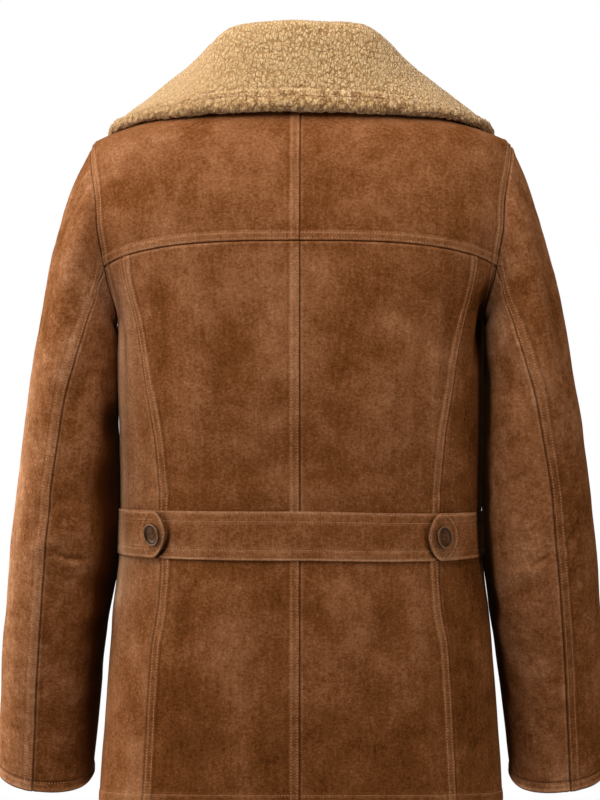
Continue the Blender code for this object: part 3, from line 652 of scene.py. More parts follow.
def pucker(distance, place, size, reach, seed):
    """Small uneven swells along a seam that fade out at a reach from it."""
    at = np.stack([place, place * 0.0, distance * 0.5], axis=-1)
    return soft_noise(at, size, seed) * (1.0 - ease(0.4 * reach, reach, distance))


Band = namedtuple("Band", "width height rows")
BAND_FADE = (-0.0010, 0.0022)        # where a band ends, from its width
STITCH_DIP = (-0.00055, 0.0010)      # how far stitches draw a band down, and over what width
BAND_LUMPS = (0.00034, 0.0085, 0.0090)       # height and size of its swells, and how far they run past it
BAND_WEAR = 0.16
ROW_WEAR = ((0.42, -0.0012, 0.0007), (0.34, 0.0012, 0.0007), (-0.30, 0.0, 0.0006))     # beside each row
UNEVEN_WEAR = (0.85, 0.45, 0.0180)   # its mean, how much it varies, and over what lumps
RIDGE = Band(RIDGE_WIDTH, RIDGE_HEIGHT, RIDGE_ROWS)
TURNED_UP = Band(HEM_WIDTH, HEM_HEIGHT, HEM_ROWS)
STRAP = Band(BELT_WIDTH, 0.0, BELT_ROWS)


def stitched_band(distance, place, band, seed):
    """A band of doubled cloth along an edge: soft welts between rows of stitches that draw it down."""
    inside = 1.0 - ease(*BAND_FADE, distance - band.width)
    relief, worn = band.height * inside, BAND_WEAR * inside
    for row in band.rows:
        relief = relief + STITCH_DIP[0] * bump(distance, row, STITCH_DIP[1])
        worn = worn + humps(distance - row, ROW_WEAR)
    height, size, beyond = BAND_LUMPS
    relief = relief + height * pucker(distance, place, size, band.width + beyond, seed)
    mean, varies, lumps = UNEVEN_WEAR
    return relief, worn * (mean + varies * pucker(distance, place, lumps, 1.0, seed + 2.0))


class Edge:
    """What a kind of seam or edge does to the cloth: its band, how it rounds over (radius, drop), its small
    swells (height, size, reach), and humps (height, distance, width) of relief, wear with painted light, and
    shade."""

    def __init__(self, band=None, rounding=None, lumps=None, relief=(), worn=(), dark=(), lightened=1.0):
        self.band, self.rounding, self.lumps = band, rounding, lumps
        self.relief, self.worn, self.dark, self.lightened = relief, worn, dark, lightened

    def effect(self, distance, place, seed):
        """Relief, wear with painted light, and depth of shade at a distance from the line and a place along
        it.
        """
        relief, worn = humps(distance, self.relief), humps(distance, self.worn)
        if self.band:
            raised, lightened = stitched_band(distance, place, self.band, seed)
            relief, worn = relief + raised, worn + lightened * self.lightened
        if self.rounding:
            relief = relief + rounded(distance, *self.rounding)
        if self.lumps:
            height, size, reach = self.lumps
            relief = relief + height * pucker(distance, place, size, reach, seed)
        dark = np.zeros_like(distance)
        for height, middle, width in self.dark:
            dark = np.maximum(dark, height * bump(distance, middle, width))
        return relief, worn, dark


RIDGE_SHADE = ((1.0, 0.0, 0.0005), (0.35, RIDGE_WIDTH + 0.0014, 0.0012))
ridge = Edge(RIDGE, (0.0013, 0.0015), dark=RIDGE_SHADE)
# the same down a sleeve: less rubbed, and darker along its stitching
sleeve_ridge = Edge(RIDGE, (0.0013, 0.0015), lightened=0.62,
                    dark=(*RIDGE_SHADE, *((0.26, row, 0.0007) for row in RIDGE_ROWS)))
# the plain side of a seam, which goes down under the ridged side
tuck = Edge(lumps=(0.00030, 0.0095, 0.014), relief=((-0.0011, 0.0, 0.0013), (0.0005, 0.0036, 0.0020)),
            worn=((0.22, 0.0026, 0.0012),), dark=((1.0, 0.0, 0.0007),))
# a hem, with painted shade along its very edge
hem = Edge(TURNED_UP, (0.0016, 0.0013), dark=((0.75, 0.0, 0.0007),))
# a hem turned over a soft roll: round at its edge, with painted shade under it and in the groove above the
# roll, and painted light along the roll
cuff = Edge(TURNED_UP, (0.0065, 0.0034),
            relief=((0.0010, 0.0068, 0.0050), (-0.0012, HEM_WIDTH + 0.0006, 0.0014)),
            worn=((0.40, 0.0052, 0.0018),), dark=((1.0, 0.0, 0.0017), (0.72, HEM_WIDTH + 0.0014, 0.0013)))
# the edge of the belt or a tab, with a painted highlight along its rim and painted shade at its very edge
strap_edge = Edge(STRAP, (0.0011, 0.0011), lightened=0.8, worn=((0.55, 0.0009, 0.0009),),
                  dark=((0.6, 0.0, 0.0003),))
# a seam pressed open
plain = Edge(lumps=(0.0002, 0.011, 0.012), relief=((-0.0007, 0.0, 0.0018),),
             worn=((0.25, 0.0030, 0.0015),), dark=((1.0, 0.0, 0.0008),))
# the welt round a tab's button, with painted light on it; the left one has painted shade beside it, and the
# right one is pulled tight, so it is rounder, with a painted shadow line beside it
WELTS = {
    "left": Edge(relief=((0.0004, 0.0, 0.0014), (-0.0004, 0.0026, 0.0010)),
                 worn=((0.26, 0.0, 0.0010), (-0.25, 0.0026, 0.0010))),
    "right": Edge(relief=((0.0007, 0.0, 0.0014), (-0.0006, 0.0026, 0.0010)),
                  worn=((0.40, 0.0, 0.0010),), dark=((0.42, 0.0026, 0.0010),)),
}


# ---- meshes ----
def placed(name, data):
    """A new object in the scene."""
    piece = bpy.data.objects.new(name, data)
    bpy.context.scene.collection.objects.link(piece)
    return piece


def store(mesh, values):
    """Named values at a mesh's points."""
    for key, value in values.items():
        mesh.attributes.new(key, "FLOAT", "POINT").data.foreach_set("value", value.astype(np.float32).ravel())


def finished(shape, name):
    """The mesh of a bmesh."""
    mesh = bpy.data.meshes.new(name)
    shape.to_mesh(mesh)
    shape.free()
    return mesh


def grid_faces(rows, columns, start=0, turned=False):
    """The quads of a grid of points."""
    r, c = np.meshgrid(np.arange(rows - 1), np.arange(columns - 1), indexing="ij")
    first = (start + r * columns + c).ravel()
    quads = np.stack([first, first + 1, first + 1 + columns, first + columns], axis=1)
    return quads[:, ::-1] if turned else quads


def border(rows, columns):
    """The rows and the columns of a grid's border points, in order round it."""
    loop = ([(0, c) for c in range(columns)] + [(r, columns - 1) for r in range(1, rows)]
            + [(rows - 1, c) for c in range(columns - 2, -1, -1)] + [(r, 0) for r in range(rows - 2, 0, -1)])
    return np.array(loop).T


def rim_faces(rows, columns, turned):
    """The quads round the border between an outer grid and the inner grid that follows it."""
    row, col = border(rows, columns)
    loop = row * columns + col
    after = np.roll(loop, -1)
    inner = rows * columns
    quads = np.stack([after, loop, loop + inner, after + inner], axis=1)
    return quads[:, ::-1] if turned else quads


def add_mesh(name, points, faces, material, values, uv=None):
    """A smooth mesh object with named values at its points and a UV map."""
    mesh = bpy.data.meshes.new(name)
    mesh.from_pydata(points.tolist(), [], [list(face) for face in faces])
    mesh.materials.append(material)
    mesh.shade_smooth()
    store(mesh, values)
    if uv is not None:
        corners = np.empty(len(mesh.loops), dtype=np.int32)
        mesh.loops.foreach_get("vertex_index", corners)
        mesh.uv_layers.new(name="cloth").data.foreach_set("uv", uv[corners].astype(np.float32).ravel())
    return placed(name, mesh)


def spaced(total, cell, between=None):
    """Distances across a width: close together near both edges, a cell apart or a number of them between."""
    near = SEAM_STEPS * min(1.0, NEAR_SHARE * total / SEAM_STEPS[-1])
    if between is None:
        between = max(2, round((total - 2.0 * near[-1]) / cell)) - 1
    middle = np.linspace(near[-1], total - near[-1], between + 2)[1:-1]
    return np.concatenate([near, middle, total - near[::-1]])


def rows_along(line_at, start, end):
    """Values of v from start to end whose points on a guide line are spaced as above."""
    values = np.linspace(start, end, 400)
    run = lengths(line_at(values))
    return np.interp(spaced(run[-1], CELL), run, values)


def closer(rows, low, high, parts=3):
    """The rows with each step between low and high split into parts."""
    made = [rows[:1]]
    for before, after in zip(rows, rows[1:]):
        count = parts if low < after < high else 1
        made.append(np.linspace(before, after, count + 1)[1:])
    return np.concatenate(made)


def columns_across(form, first, last, rows, cell=CELL):
    """For each row, the values of u from the first seam to the last, spaced as above."""
    share = np.linspace(0.0, 1.0, 65)
    start, end = first(rows)[:, None], last(rows)[:, None]
    u = start + (end - start) * share
    run = lengths(form.point(u, np.broadcast_to(rows[:, None], u.shape)), 1)
    between = len(spaced(float(run[:, -1].max()), cell)) - 2 * len(SEAM_STEPS)
    return np.array([np.interp(spaced(far[-1], cell, between), far, turns) for far, turns in zip(run, u)])


# ---- creases ----
Crease = namedtuple("Crease", "start_u start_v end_u end_v bow width height")


def crease_line(form, crease, place):
    """The line of a crease on its form, bowed sideways in the middle."""
    t = np.linspace(0.0, 1.0, 24)
    u = crease.start_u + (crease.end_u - crease.start_u) * t
    v = crease.start_v + (crease.end_v - crease.start_v) * t + crease.bow * 4.0 * t * (1.0 - t)
    return form.point(place(u, v), v)


def creased(points, lines):
    """The height that soft creases add at the points."""
    total = np.zeros(points.shape[:-1])
    for line, width, height in lines:
        reach = np.ptp(line, axis=0) / 2.0 + 3.0 * width
        near = np.all(np.abs(points - line.mean(axis=0)) < reach, axis=-1)
        if not near.any():
            continue
        distance, place = from_line(points[near], line)
        t = place / lengths(line)[-1]
        taper = np.sin(math.pi * np.clip(t, 0.02, 0.98)) ** 0.8
        total[near] += height * taper * np.exp(-(distance / width) ** 2)
    return total


# ---- one cut piece of suede ----
# how much paler (+) or darker (-) than the rest each piece is, its own tone together with painted light and
# shade: its top, middle and bottom
PIECE_TONE_LEVELS = np.array([-0.750, -0.450, -0.150])
PIECE_TONE_AND_LIGHT = {
    "back_yoke_left": (0.03, 0.03, 0.00), "back_yoke_right": (-0.10, -0.10, -0.10),
    "back_center_left": (0.02, -0.12, -0.36), "back_center_right": (-0.05, -0.02, -0.28),
    "back_side_left": (0.20, 0.26, 0.00), "back_side_right": (-0.14, -0.24, -0.40),
    "sleeve_upper_left": (0.16, 0.20, 0.15), "sleeve_under_left": (0.26, -0.12, -0.26),
    "sleeve_upper_right": (0.04, -0.16, -0.28), "sleeve_under_right": (0.18, 0.24, 0.16),
    "belt_center": (0.06, 0.06, 0.06), "belt_tab_right": (0.16, 0.16, 0.16),
}

# shade where a sleeve hangs close to the body: level, the shares of the half width where it begins and
# is full, and its depth
GLOOM = {
    "sleeve_left": np.array([
        (-0.750, 0.55, 1.05, 0.60),
        (-0.690, 0.48, 1.05, 0.70),
        (-0.620, 0.45, 1.06, 0.86),
        # painted light and shade on the wearer's left, which the lamps light flatter: how much the curls'
        # contrast fades and the fleece darkens
        (-0.551, 0.52, 1.08, 1.00),
        (-0.518, 0.43, 1.17, 1.00),
        (-0.485, 0.50, 1.15, 1.00),
        (-0.452, 0.30, 1.36, 1.00),
        (-0.419, 0.10, 1.22, 0.95),
        (-0.386, 0.56, 1.16, 0.95),
        (-0.353, 0.62, 1.05, 1.00),
        (-0.325, 0.62, 1.05, 0.32),
        (-0.260, 0.75, 1.05, 0.00),
    ]),
    "sleeve_right": np.array([
        (-0.750, 0.80, 1.02, 0.70),
        (-0.620, 0.80, 1.02, 0.90),
        (-0.570, 0.86, 1.04, 1.00),
        (-0.400, 0.86, 1.05, 1.00),
        (-0.342, 0.91, 1.07, 1.00),
        (-0.300, 0.97, 1.10, 1.00),
        (-0.262, 1.00, 1.12, 0.80),
        (-0.236, 1.00, 1.12, 0.00),
    ]),
    "side_right": np.array([
        (-0.590, 0.985, 0.995, 0.00),
        (-0.530, 0.972, 0.985, 0.70),
        (-0.470, 0.958, 0.972, 1.00),
        (-0.260, 0.955, 0.970, 1.00),
        (-0.232, 0.930, 0.965, 0.90),
        (-0.210, 0.900, 0.930, 0.50),
        (-0.190, 0.900, 0.930, 0.00),
    ]),
}


def gloom(table, level, share):
    """How deep the shade is at a share of the half width."""
    begins, full, depth = (column(table, number, level) for number in (1, 2, 3))
    return depth * ease(0.0, 1.0, (share - begins) / (full - begins))


def sleeve_shade(hand, points):
    """Painted light along the outer side of a sleeve and near the armpit, and painted shade along its inner
    side.
    """
    level = points[..., 2]
    middle, half = (np.interp(level, ARM[::-1, 3], ARM[::-1, number]) for number in (1, 4))
    outward = (np.abs(points[..., 0]) - middle) / half
    worn = (OUTER_LIGHT[hand] * ease(*OUTER_ZONE, outward) * (0.5 + 0.5 * ease(*OUTER_LEVELS, level))
            + PIT_LIGHT[hand] * bump(level, PIT_LEVEL[hand], PIT_SPAN[hand]) * ease(*PIT_ZONE, -outward))
    uneven = GLOOM_UNEVEN * soft_noise(points, GLOOM_LUMPS, 8.1)
    return worn, 2.0 * gloom(GLOOM[f"sleeve_{hand}"], level, uneven - outward)


def under_belt(hand, points):
    """The line of shade that the belt throws below it."""
    sag = BELT_SAG[hand] * ease(0.0, BELT_SAG_END, np.abs(points[..., 0]))
    below = BELT_BOTTOM - sag - points[..., 2]
    return BELT_SHADE * (1.0 - ease(*BELT_SHADE_FADE, below)) * ease(*BELT_SHADE_UNDER, below)


def side_shade(hand, points, belted=False):
    """Painted light and shade down the body's side by the sleeve, painted light on the yoke, and shade under
    the belt.
    """
    level = points[..., 2]
    share = np.abs(points[..., 0]) / column(RINGS, 3, level)
    by_sleeve = ease(*SLEEVE_BELOW, level) * (1.0 - ease(*SLEEVE_ABOVE, level))
    worn = SIDE_LIGHT_AND_SHADE[hand] * ease(*SIDE_ZONE, share) + SIDE_EDGE_LIGHT[hand] * ease(*SIDE_EDGE_ZONE, share)
    deep = 2.0 * gloom(GLOOM["side_right"], level, share) if hand == "right" else np.zeros_like(level)
    if belted:
        deep = np.maximum(deep, under_belt(hand, points))
    return worn * by_sleeve + YOKE_LIGHT * ease(*YOKE_LEVELS, level), deep


def belt_shade(points):
    """Shade on the belt just past the lifted tips of the tabs."""
    across, level = points[..., 0], points[..., 2]
    half = (BELT_TOP - BELT_BOTTOM) / 2.0
    deep = np.zeros_like(level)
    for hand, sign in SIDES.items():
        off = np.clip(np.abs(level - BELT_MIDDLE + BELT_SAG[hand]) / half, 0.0, 1.0)
        to_tip = (1.0 - off ** (1.0 / TAB_ROUND[1])) ** (1.0 / TAB_ROUND[0])
        tip = TAB_TIP[hand] + TAB_POINT * (1.0 - to_tip)
        past = tip - across * sign
        share, slope = TIP_SHADE_SLOPE
        lower = np.clip(share - slope * (level - BELT_MIDDLE) / half, 0.0, 1.0)
        deep = np.maximum(deep, TAB_TIP_SHADE[hand] * lower * bump(past, *TIP_SHADE_PAST))
    return np.zeros_like(level), deep


FIRST_SEED, SEED_STEP = 11.3, 5.1        # of the unevenness along each border of a piece
CLOTH_LUMPS = ((1.0, 0.060, 0.0), (0.45, 0.026, 3.7))    # share, size and shift of a piece's slow unevenness


class Piece:
    """A cut piece: the form it lies on, the lines it is sewn along and the creases in it."""

    def __init__(self, name, form, borders, creases=(), wall=WALL, uneven=CLOTH_UNEVEN, shade=None,
                 mottled=0.0):
        self.name, self.form, self.wall, self.uneven, self.shade = name, form, wall, uneven, shade
        self.mottled = mottled
        self.tone_and_light = np.array(PIECE_TONE_AND_LIGHT.get(name.removesuffix("_suede"), (0.0, 0.0, 0.0))[::-1])
        self.borders, self.creases = borders, creases

    def relief(self, points):
        """Height over the form, wear with painted light, and depth of shade at points of the form."""
        height = self.uneven * sum(share * soft_noise(points, *lumps) for share, *lumps in CLOTH_LUMPS)
        worn, deep = np.zeros(points.shape[:-1]), np.zeros(points.shape[:-1])
        for number, (line, edge) in enumerate(self.borders):
            distance, place = from_line(points, line)
            up, lightened, dark = edge.effect(distance, place, FIRST_SEED + number * SEED_STEP)
            height = height + up
            worn = np.maximum(worn, lightened)
            deep = np.maximum(deep, dark)
        folds = creased(points, self.creases)
        # painted light and shade on the creases, and each piece's own tone with its painted light and shade
        worn = worn + folds * FOLD_LIGHT_AND_SHADE + smooth_through(PIECE_TONE_LEVELS, self.tone_and_light, points[..., 2])
        if self.shade is not None:
            lightened, dark = self.shade(points)
            worn, deep = worn + lightened, np.maximum(deep, dark)
        return height + folds, worn, deep

    def build(self, u, v, material):
        """The piece as a thin closed shell."""
        rows, columns = u.shape
        at, out = self.form.point(u, v), self.form.normal(u, v)
        at = inset(at, out, -SEAM_LAP, self.form.turned)
        height, worn, deep = self.relief(at)
        outer = at + out * height[..., None]
        inner = at + out * (np.minimum(height, 0.0) - self.wall)[..., None]
        points = np.concatenate([outer.reshape(-1, 3), inner.reshape(-1, 3)])
        turned = self.form.turned
        faces = np.concatenate([grid_faces(rows, columns, 0, turned),
                                grid_faces(rows, columns, rows * columns, not turned),
                                rim_faces(rows, columns, turned)])
        across = lengths(at, 1)
        uv = np.stack([across - across[:, -1:] / 2.0, lengths(at)], axis=-1).reshape(-1, 2)
        zero = np.zeros(rows * columns)
        values = {"worn": np.append(worn, zero), "deep": np.append(deep, zero),
                  "inside": np.append(zero, zero + 1.0), "mottled": np.full(2 * rows * columns, self.mottled)}
        return add_mesh(self.name, points, faces, material, values, np.concatenate([uv, uv]))

    def stitch_line(self, u, v, distance):
        """Points, directions and shade for a row of stitches at a distance from a line of places."""
        u, v = self.form.beside(u, v, distance)
        at, out = self.form.point(u, v), self.form.normal(u, v)
        height, _, deep = self.relief(at)
        return at + out * (height + THREAD * THREAD_RISE)[..., None], out, deep


def inset(points, normals, gap, turned):
    """Move the border of a grid inwards by a gap, along its own face."""
    row, col = border(*points.shape[:2])
    edge, out = points[row, col], normals[row, col]
    out = -out if turned else out
    run = unit(np.roll(edge, -1, axis=0) - np.roll(edge, 1, axis=0))
    moved = points.copy()
    moved[row, col] += gap * np.cross(out, run)
    return moved


# ---- nodes ----
class Nodes:
    """The nodes and links of one tree."""

    def __init__(self, tree):
        self.tree = tree

    def make(self, kind, settings=None, sockets=None):
        """One node of a type, with its settings, then the values or links of its sockets."""
        node = self.tree.nodes.new(kind)
        for name, value in (settings or {}).items():
            if name == "stops":
                self.fill_ramp(node.color_ramp, value)
            else:
                setattr(node, name, value)
        for name, value in (sockets or {}).items():
            self.feed(self.socket(node.inputs, name), value)
        return node

    @staticmethod
    def socket(sockets, name):
        """A socket by its number, identifier or name."""
        if isinstance(name, int):
            return sockets[name]
        return next((s for s in sockets if s.identifier == name), None) or sockets[name]

    def feed(self, socket, value):
        """Give a socket a value, or link it to a Number, to another socket or to a node's first output."""
        if isinstance(value, bpy.types.Node):
            value = value.outputs[0]
        if isinstance(value, Number):
            value = value.socket
        if isinstance(value, bpy.types.NodeSocket):
            self.tree.links.new(value, socket)
        else:
            socket.default_value = value

    @staticmethod
    def fill_ramp(ramp, stops):
        while len(ramp.elements) < len(stops):
            ramp.elements.new(1.0)
        for element, (place, colour) in zip(ramp.elements, stops):
            element.position = place
            element.color = (*colour, 1.0)

    def number(self, node, output=0):
        return Number(self, self.socket(node.outputs, output))

    def vector(self, operation, first, second, other=1):
        """A vector operation; its second value goes into the socket named by other."""
        made = self.make("ShaderNodeVectorMath", {"operation": operation}, {0: first, other: second})
        return made.outputs[0]

    def warped(self, place, scale, detail, strength):
        """A place moved about by noise."""
        wobble = self.make("ShaderNodeTexNoise", None, {"Vector": place, "Scale": scale, "Detail": detail})
        wobble = self.vector("SUBTRACT", wobble.outputs["Color"], (0.5, 0.5, 0.5))
        return self.vector("ADD", place, self.vector("SCALE", wobble, strength, "Scale"))


def new_tool(name, takes, gives, sizes):
    """A geometry tree that takes a mesh and named sizes: the tree, its nodes and its input's sockets."""
    tree = bpy.data.node_groups.new(name, "GeometryNodeTree")
    tree.interface.new_socket(takes, in_out="INPUT", socket_type="NodeSocketGeometry")
    for key, size in sizes.items():
        tree.interface.new_socket(key, in_out="INPUT", socket_type="NodeSocketFloat").default_value = size
    tree.interface.new_socket(gives, in_out="OUTPUT", socket_type="NodeSocketGeometry")
    nodes = Nodes(tree)
    return tree, nodes, nodes.make("NodeGroupInput").outputs


def arithmetic(operation, swapped=False):
    """A method that adds a Math node of two numbers."""
    def made(self, other):
        return self.maths(operation, *((other, self) if swapped else (self, other)))
    return made


class Number:
    """A number in a tree; arithmetic on it adds Math nodes."""

    def __init__(self, nodes, socket):
        self.nodes, self.socket = nodes, socket

    def maths(self, operation, first, second=0.0, clamp=False):
        made = self.nodes.make("ShaderNodeMath", {"operation": operation, "use_clamp": clamp},
                               {0: first, 1: second, 2: 0.0})
        return Number(self.nodes, made.outputs[0])

    __add__ = __radd__ = arithmetic("ADD")
    __mul__ = __rmul__ = arithmetic("MULTIPLY")
    __sub__, __rsub__ = arithmetic("SUBTRACT"), arithmetic("SUBTRACT", True)
    __rtruediv__ = arithmetic("DIVIDE", True)
    smallest = arithmetic("MINIMUM")

    def clamped(self):
        return self.maths("ADD", self, 0.0, clamp=True)


class Shade(Nodes):
    """A material's tree round its Principled shader."""

    def __init__(self, name):
        self.material = bpy.data.materials.new(name)
        self.material.use_nodes = True
        super().__init__(self.material.node_tree)
        self.shader = self.tree.nodes["Principled BSDF"]
        self.place = self.make("ShaderNodeTexCoord").outputs["Object"]

    def set(self, **sockets):
        for name, value in sockets.items():
            self.feed(self.shader.inputs[name.replace("_", " ")], value)

    def value(self, name):
        return self.number(self.make("ShaderNodeAttribute", {"attribute_name": name}), "Fac")

    def cloth_place(self, across, along):
        """The piece's own UV map, scaled across and along."""
        uv = self.make("ShaderNodeUVMap", {"uv_map": "cloth"}).outputs[0]
        return self.vector("MULTIPLY", uv, (across, along, 1.0))

    def noise(self, scale, detail=2.0, roughness=0.5, distortion=0.0, at=None):
        made = self.make("ShaderNodeTexNoise", None, {
            "Vector": at or self.place, "Scale": scale, "Detail": detail, "Roughness": roughness,
            "Distortion": distortion})
        return self.number(made, "Fac")

    def mixed(self, factor, first, second, blend="MIX"):
        made = self.make("ShaderNodeMix", {"data_type": "RGBA", "blend_type": blend},
                         {"Factor_Float": factor, "A_Color": first, "B_Color": second})
        return self.socket(made.outputs, "Result_Color")

    def ramp(self, value, stops):
        return self.make("ShaderNodeValToRGB", {"stops": stops}, {"Fac": value}).outputs[0]

    def bumped(self, height, strength, distance, over=None):
        sockets = {"Height": height, "Strength": strength, "Distance": distance}
        if over is not None:
            sockets["Normal"] = over
        return self.make("ShaderNodeBump", None, sockets).outputs[0]


# ---- materials ----
SHADE_COLOUR = (0.052, 0.0135, 0.0026, 1.0)      # of suede down in a seam or a shaded side
GAP_SHADE_COLOUR = (0.0015, 0.0006, 0.0003, 1.0)       # painted near-black shade down in the gaps between sleeve and body
FLESH_COLOUR = (0.20, 0.115, 0.065, 1.0)         # of the hide's inner side


def suede_material():
    """Brushed brown suede: cloudy patches, brushed streaks, rubbed ridges, dark seam lines, painted light and
    painted shade.
    """
    shade = Shade("suede")
    clouds = shade.noise(11.0, 4.0, 0.48, 0.6)
    patches = shade.noise(38.0, 4.0, 0.6, 0.4)
    streaks = shade.noise(1.0, 3.0, 0.6, 0.2, at=shade.cloth_place(220.0, 26.0))
    grain = shade.noise(330.0, 3.0, 0.65)
    nap = shade.noise(900.0, 2.0, 0.6)
    fibres = shade.noise(1.0, 2.0, 0.6, 0.0, at=shade.cloth_place(120.0, 1500.0))
    mottling = shade.noise(95.0, 2.0, 0.6, 0.3)
    worn, deep, inside = shade.value("worn"), shade.value("deep"), shade.value("inside")
    mottled = shade.value("mottled")
    # the mesh's wear value adds rubbed wear and painted light
    tone = (0.455 + (clouds - 0.5) * 0.64 + (patches - 0.5) * 0.47 + (streaks - 0.5) * 0.26
            + (mottling - 0.5) * mottled + (grain - 0.5) * 0.66 + (nap - 0.5) * 0.46 + (fibres - 0.5) * 0.38
            + worn * 0.46)
    brown = shade.ramp((tone * 0.8).clamped(), [
        (0.048, (0.060, 0.0165, 0.0036)),
        (0.288, (0.150, 0.0490, 0.0135)),
        (0.496, (0.257, 0.1030, 0.0410)),
        (0.736, (0.440, 0.2150, 0.1100)),
        (0.800, (0.520, 0.2600, 0.1300)),
        (1.000, (0.680, 0.3700, 0.2000)),
    ])
    # the seams' own dark lines, and painted shade beside the sleeves, in grooves and under the belt and the
    # tabs: dark brown, then near-black
    brown = shade.mixed((deep * 0.92).clamped(), brown, SHADE_COLOUR)
    brown = shade.mixed((deep - 1.0).clamped(), brown, GAP_SHADE_COLOUR)
    brown = shade.mixed(inside * 0.55, brown, FLESH_COLOUR)
    rough = shade.bumped(nap * 0.5 + fibres * 0.5 + grain * 0.8, 0.6, 0.00060)
    lumps = shade.noise(120.0, 3.0, 0.55)
    soft = shade.bumped(lumps + patches * 1.2, 0.40, 0.0010, over=rough)
    shade.set(Base_Color=brown, Roughness=0.96, Normal=soft, Specular_IOR_Level=0.0, Sheen_Weight=0.055,
              Sheen_Roughness=0.40, Sheen_Tint=(1.0, 0.48, 0.20, 1.0))
    return shade.material


def fleece_material():
    """Curly fleece: fine tight curls with painted light on top, and painted shade, darker and warmer, down
    between them.
    """
    shade = Shade("fleece")
    tuft, roll, seam = shade.value("tuft"), shade.value("roll"), shade.value("seam")
    calm = shade.value("calm")
    combed = shade.make("ShaderNodeMapping", None, {"Vector": shade.place, "Scale": (1.0, 1.0, 0.62)})
    at = shade.warped(combed.outputs[0], 210.0, 2.0, 0.0062)

    def curls(size):
        """Domed curls of a size, and the partings between them."""
        looks = {"Vector": at, "Scale": 1.0 / size}
        near = shade.number(shade.make("ShaderNodeTexVoronoi", {"feature": "F1"}, looks), "Distance")
        edge = shade.make("ShaderNodeTexVoronoi", {"feature": "DISTANCE_TO_EDGE"}, looks)
        edge = shade.number(edge, "Distance")
        return (1.0 - near * near * 1.6).clamped(), (1.0 - edge * 4.8).clamped()

    fine, parting = curls(0.0033)
    broad, cleft = curls(0.0066)
    _, row_line = curls(0.0105)
    locks = fine * (1.0 - roll * 0.55) + broad * roll * 0.55 - 0.64
    strands = shade.noise(680.0, 4.0, 0.72, 1.2) - 0.5
    clouds = shade.noise(26.0, 3.0, 0.5) - 0.5
    smooth = 1.0 - roll
    # painted light on the curls' tops and painted shade down in the partings and clefts between them
    curly = (locks * (0.26 + roll * 0.36) + (tuft - 0.6) * (0.08 + roll * 0.10)
             + strands * (0.50 + roll * 0.16) - parting * (0.27 + smooth * 0.10)
             - row_line * smooth * 0.09 - cleft * roll * 0.24)
    uneven = (1.0 - calm) * (1.0 + clouds * 1.5)
    # a painted highlight along the line where the roll meets the fall, and painted shade with flatter curls
    # on the wearer's left
    tone = 0.735 + curly * uneven + clouds * 0.18 + seam * 0.20 - roll * 0.09 - calm * 0.34
    wool = shade.ramp(tone.clamped(), [
        (0.05, (0.275, 0.124, 0.037)),
        (0.30, (0.480, 0.262, 0.100)),
        (0.55, (0.660, 0.405, 0.178)),
        (0.80, (0.775, 0.520, 0.262)),
        (1.00, (0.860, 0.620, 0.350)),
    ])
    relief = locks * (0.8 + roll * 0.7) + strands * 0.8 - parting * 0.30 - row_line * smooth * 0.15
    curled = shade.bumped(relief, 0.95, 0.0018)
    shade.set(Base_Color=wool, Roughness=0.98, Normal=curled, Specular_IOR_Level=0.10, Sheen_Weight=0.35,
              Sheen_Roughness=0.5, Sheen_Tint=(1.0, 0.86, 0.66, 1.0))
    return shade.material


def thread_material(name, dark, light):
    """Twisted thread, darkened with painted shade where the cloth under it is shaded."""
    shade = Shade(name)
    colour = shade.ramp(shade.noise(140.0, 2.0), [(0.3, dark), (0.7, light)])
    # painted shade: stitches darken to near-black where the cloth under them is shaded
    colour = shade.mixed(((shade.value("deep") - 0.4) * 0.8).clamped(), colour, GAP_SHADE_COLOUR)
    twist = shade.noise(2600.0, 1.0)
    shade.set(Base_Color=colour, Roughness=0.75, Normal=shade.bumped(twist, 0.5, 0.0002),
              Specular_IOR_Level=0.3)
    return shade.material


def horn_material():
    """Polished brown horn with a clouded grain, a painted highlight on its rim and painted shade beside it
    and round its holes.
    """
    shade = Shade("horn")
    grain = shade.noise(150.0, 4.0, 0.6, 1.5)
    streaks = shade.noise(520.0, 2.0, 0.5, 0.5)
    rim = shade.value("rim")
    # painted highlight on the rim and painted shade beside it and round the holes
    colour = shade.ramp(grain * 0.60 + streaks * 0.25 + 0.07 + rim * 0.30, [
        (0.12, (0.0130, 0.0042, 0.0015)),
        (0.36, (0.0430, 0.0160, 0.0055)),
        (0.56, (0.0980, 0.0410, 0.0160)),
        (0.86, (0.2400, 0.1250, 0.0560)),
    ])
    shade.set(Base_Color=colour, Roughness=0.27 + streaks * 0.12, Specular_IOR_Level=0.26,
              Specular_Tint=(1.0, 0.74, 0.48, 1.0))
    return shade.material


def floor_material():
    """Matt near-white."""
    shade = Shade("floor")
    tone = shade.noise(3.0, 2.0)
    shade.set(Base_Color=shade.ramp(tone, [(0.0, (0.86, 0.86, 0.86)), (1.0, (0.90, 0.90, 0.90))]),
              Roughness=0.9)
    return shade.material


SUEDE = suede_material()
FLEECE = fleece_material()
THREAD_COLOUR = thread_material("thread", (0.360, 0.160, 0.066), (0.560, 0.300, 0.145))
DARK_THREAD = thread_material("button_thread", (0.110, 0.036, 0.017), (0.190, 0.070, 0.034))
HORN = horn_material()


# ---- the lines that pieces are sewn along ----
def seam_at(seam, level):
    """Where a seam is at one level or station."""
    return float(seam(np.array(level)))


LINE_POINTS = 260


def body_line(first_level, last_level, seam):
    """Places up a seam of the body."""
    levels = np.linspace(first_level, last_level, LINE_POINTS)
    return seam(levels), levels


def round_line(level, first, last):
    """Places round the body at a level."""
    turns = np.linspace(first, last, LINE_POINTS)
    return turns, np.full_like(turns, level)


def sleeve_line(seam):
    """Places down a seam of the sleeve."""
    stations = np.linspace(0.0, ARM_END, LINE_POINTS)
    return seam(stations), stations


def round_sleeve(station, first, last):
    """Places round the sleeve at a station."""
    angles = np.linspace(first, last, LINE_POINTS)
    return angles, np.full_like(angles, station)


def armhole_line(first_angle, last_angle):
    """Places round the armhole from one angle to another."""
    return armhole_body(np.linspace(first_angle, last_angle, LINE_POINTS))


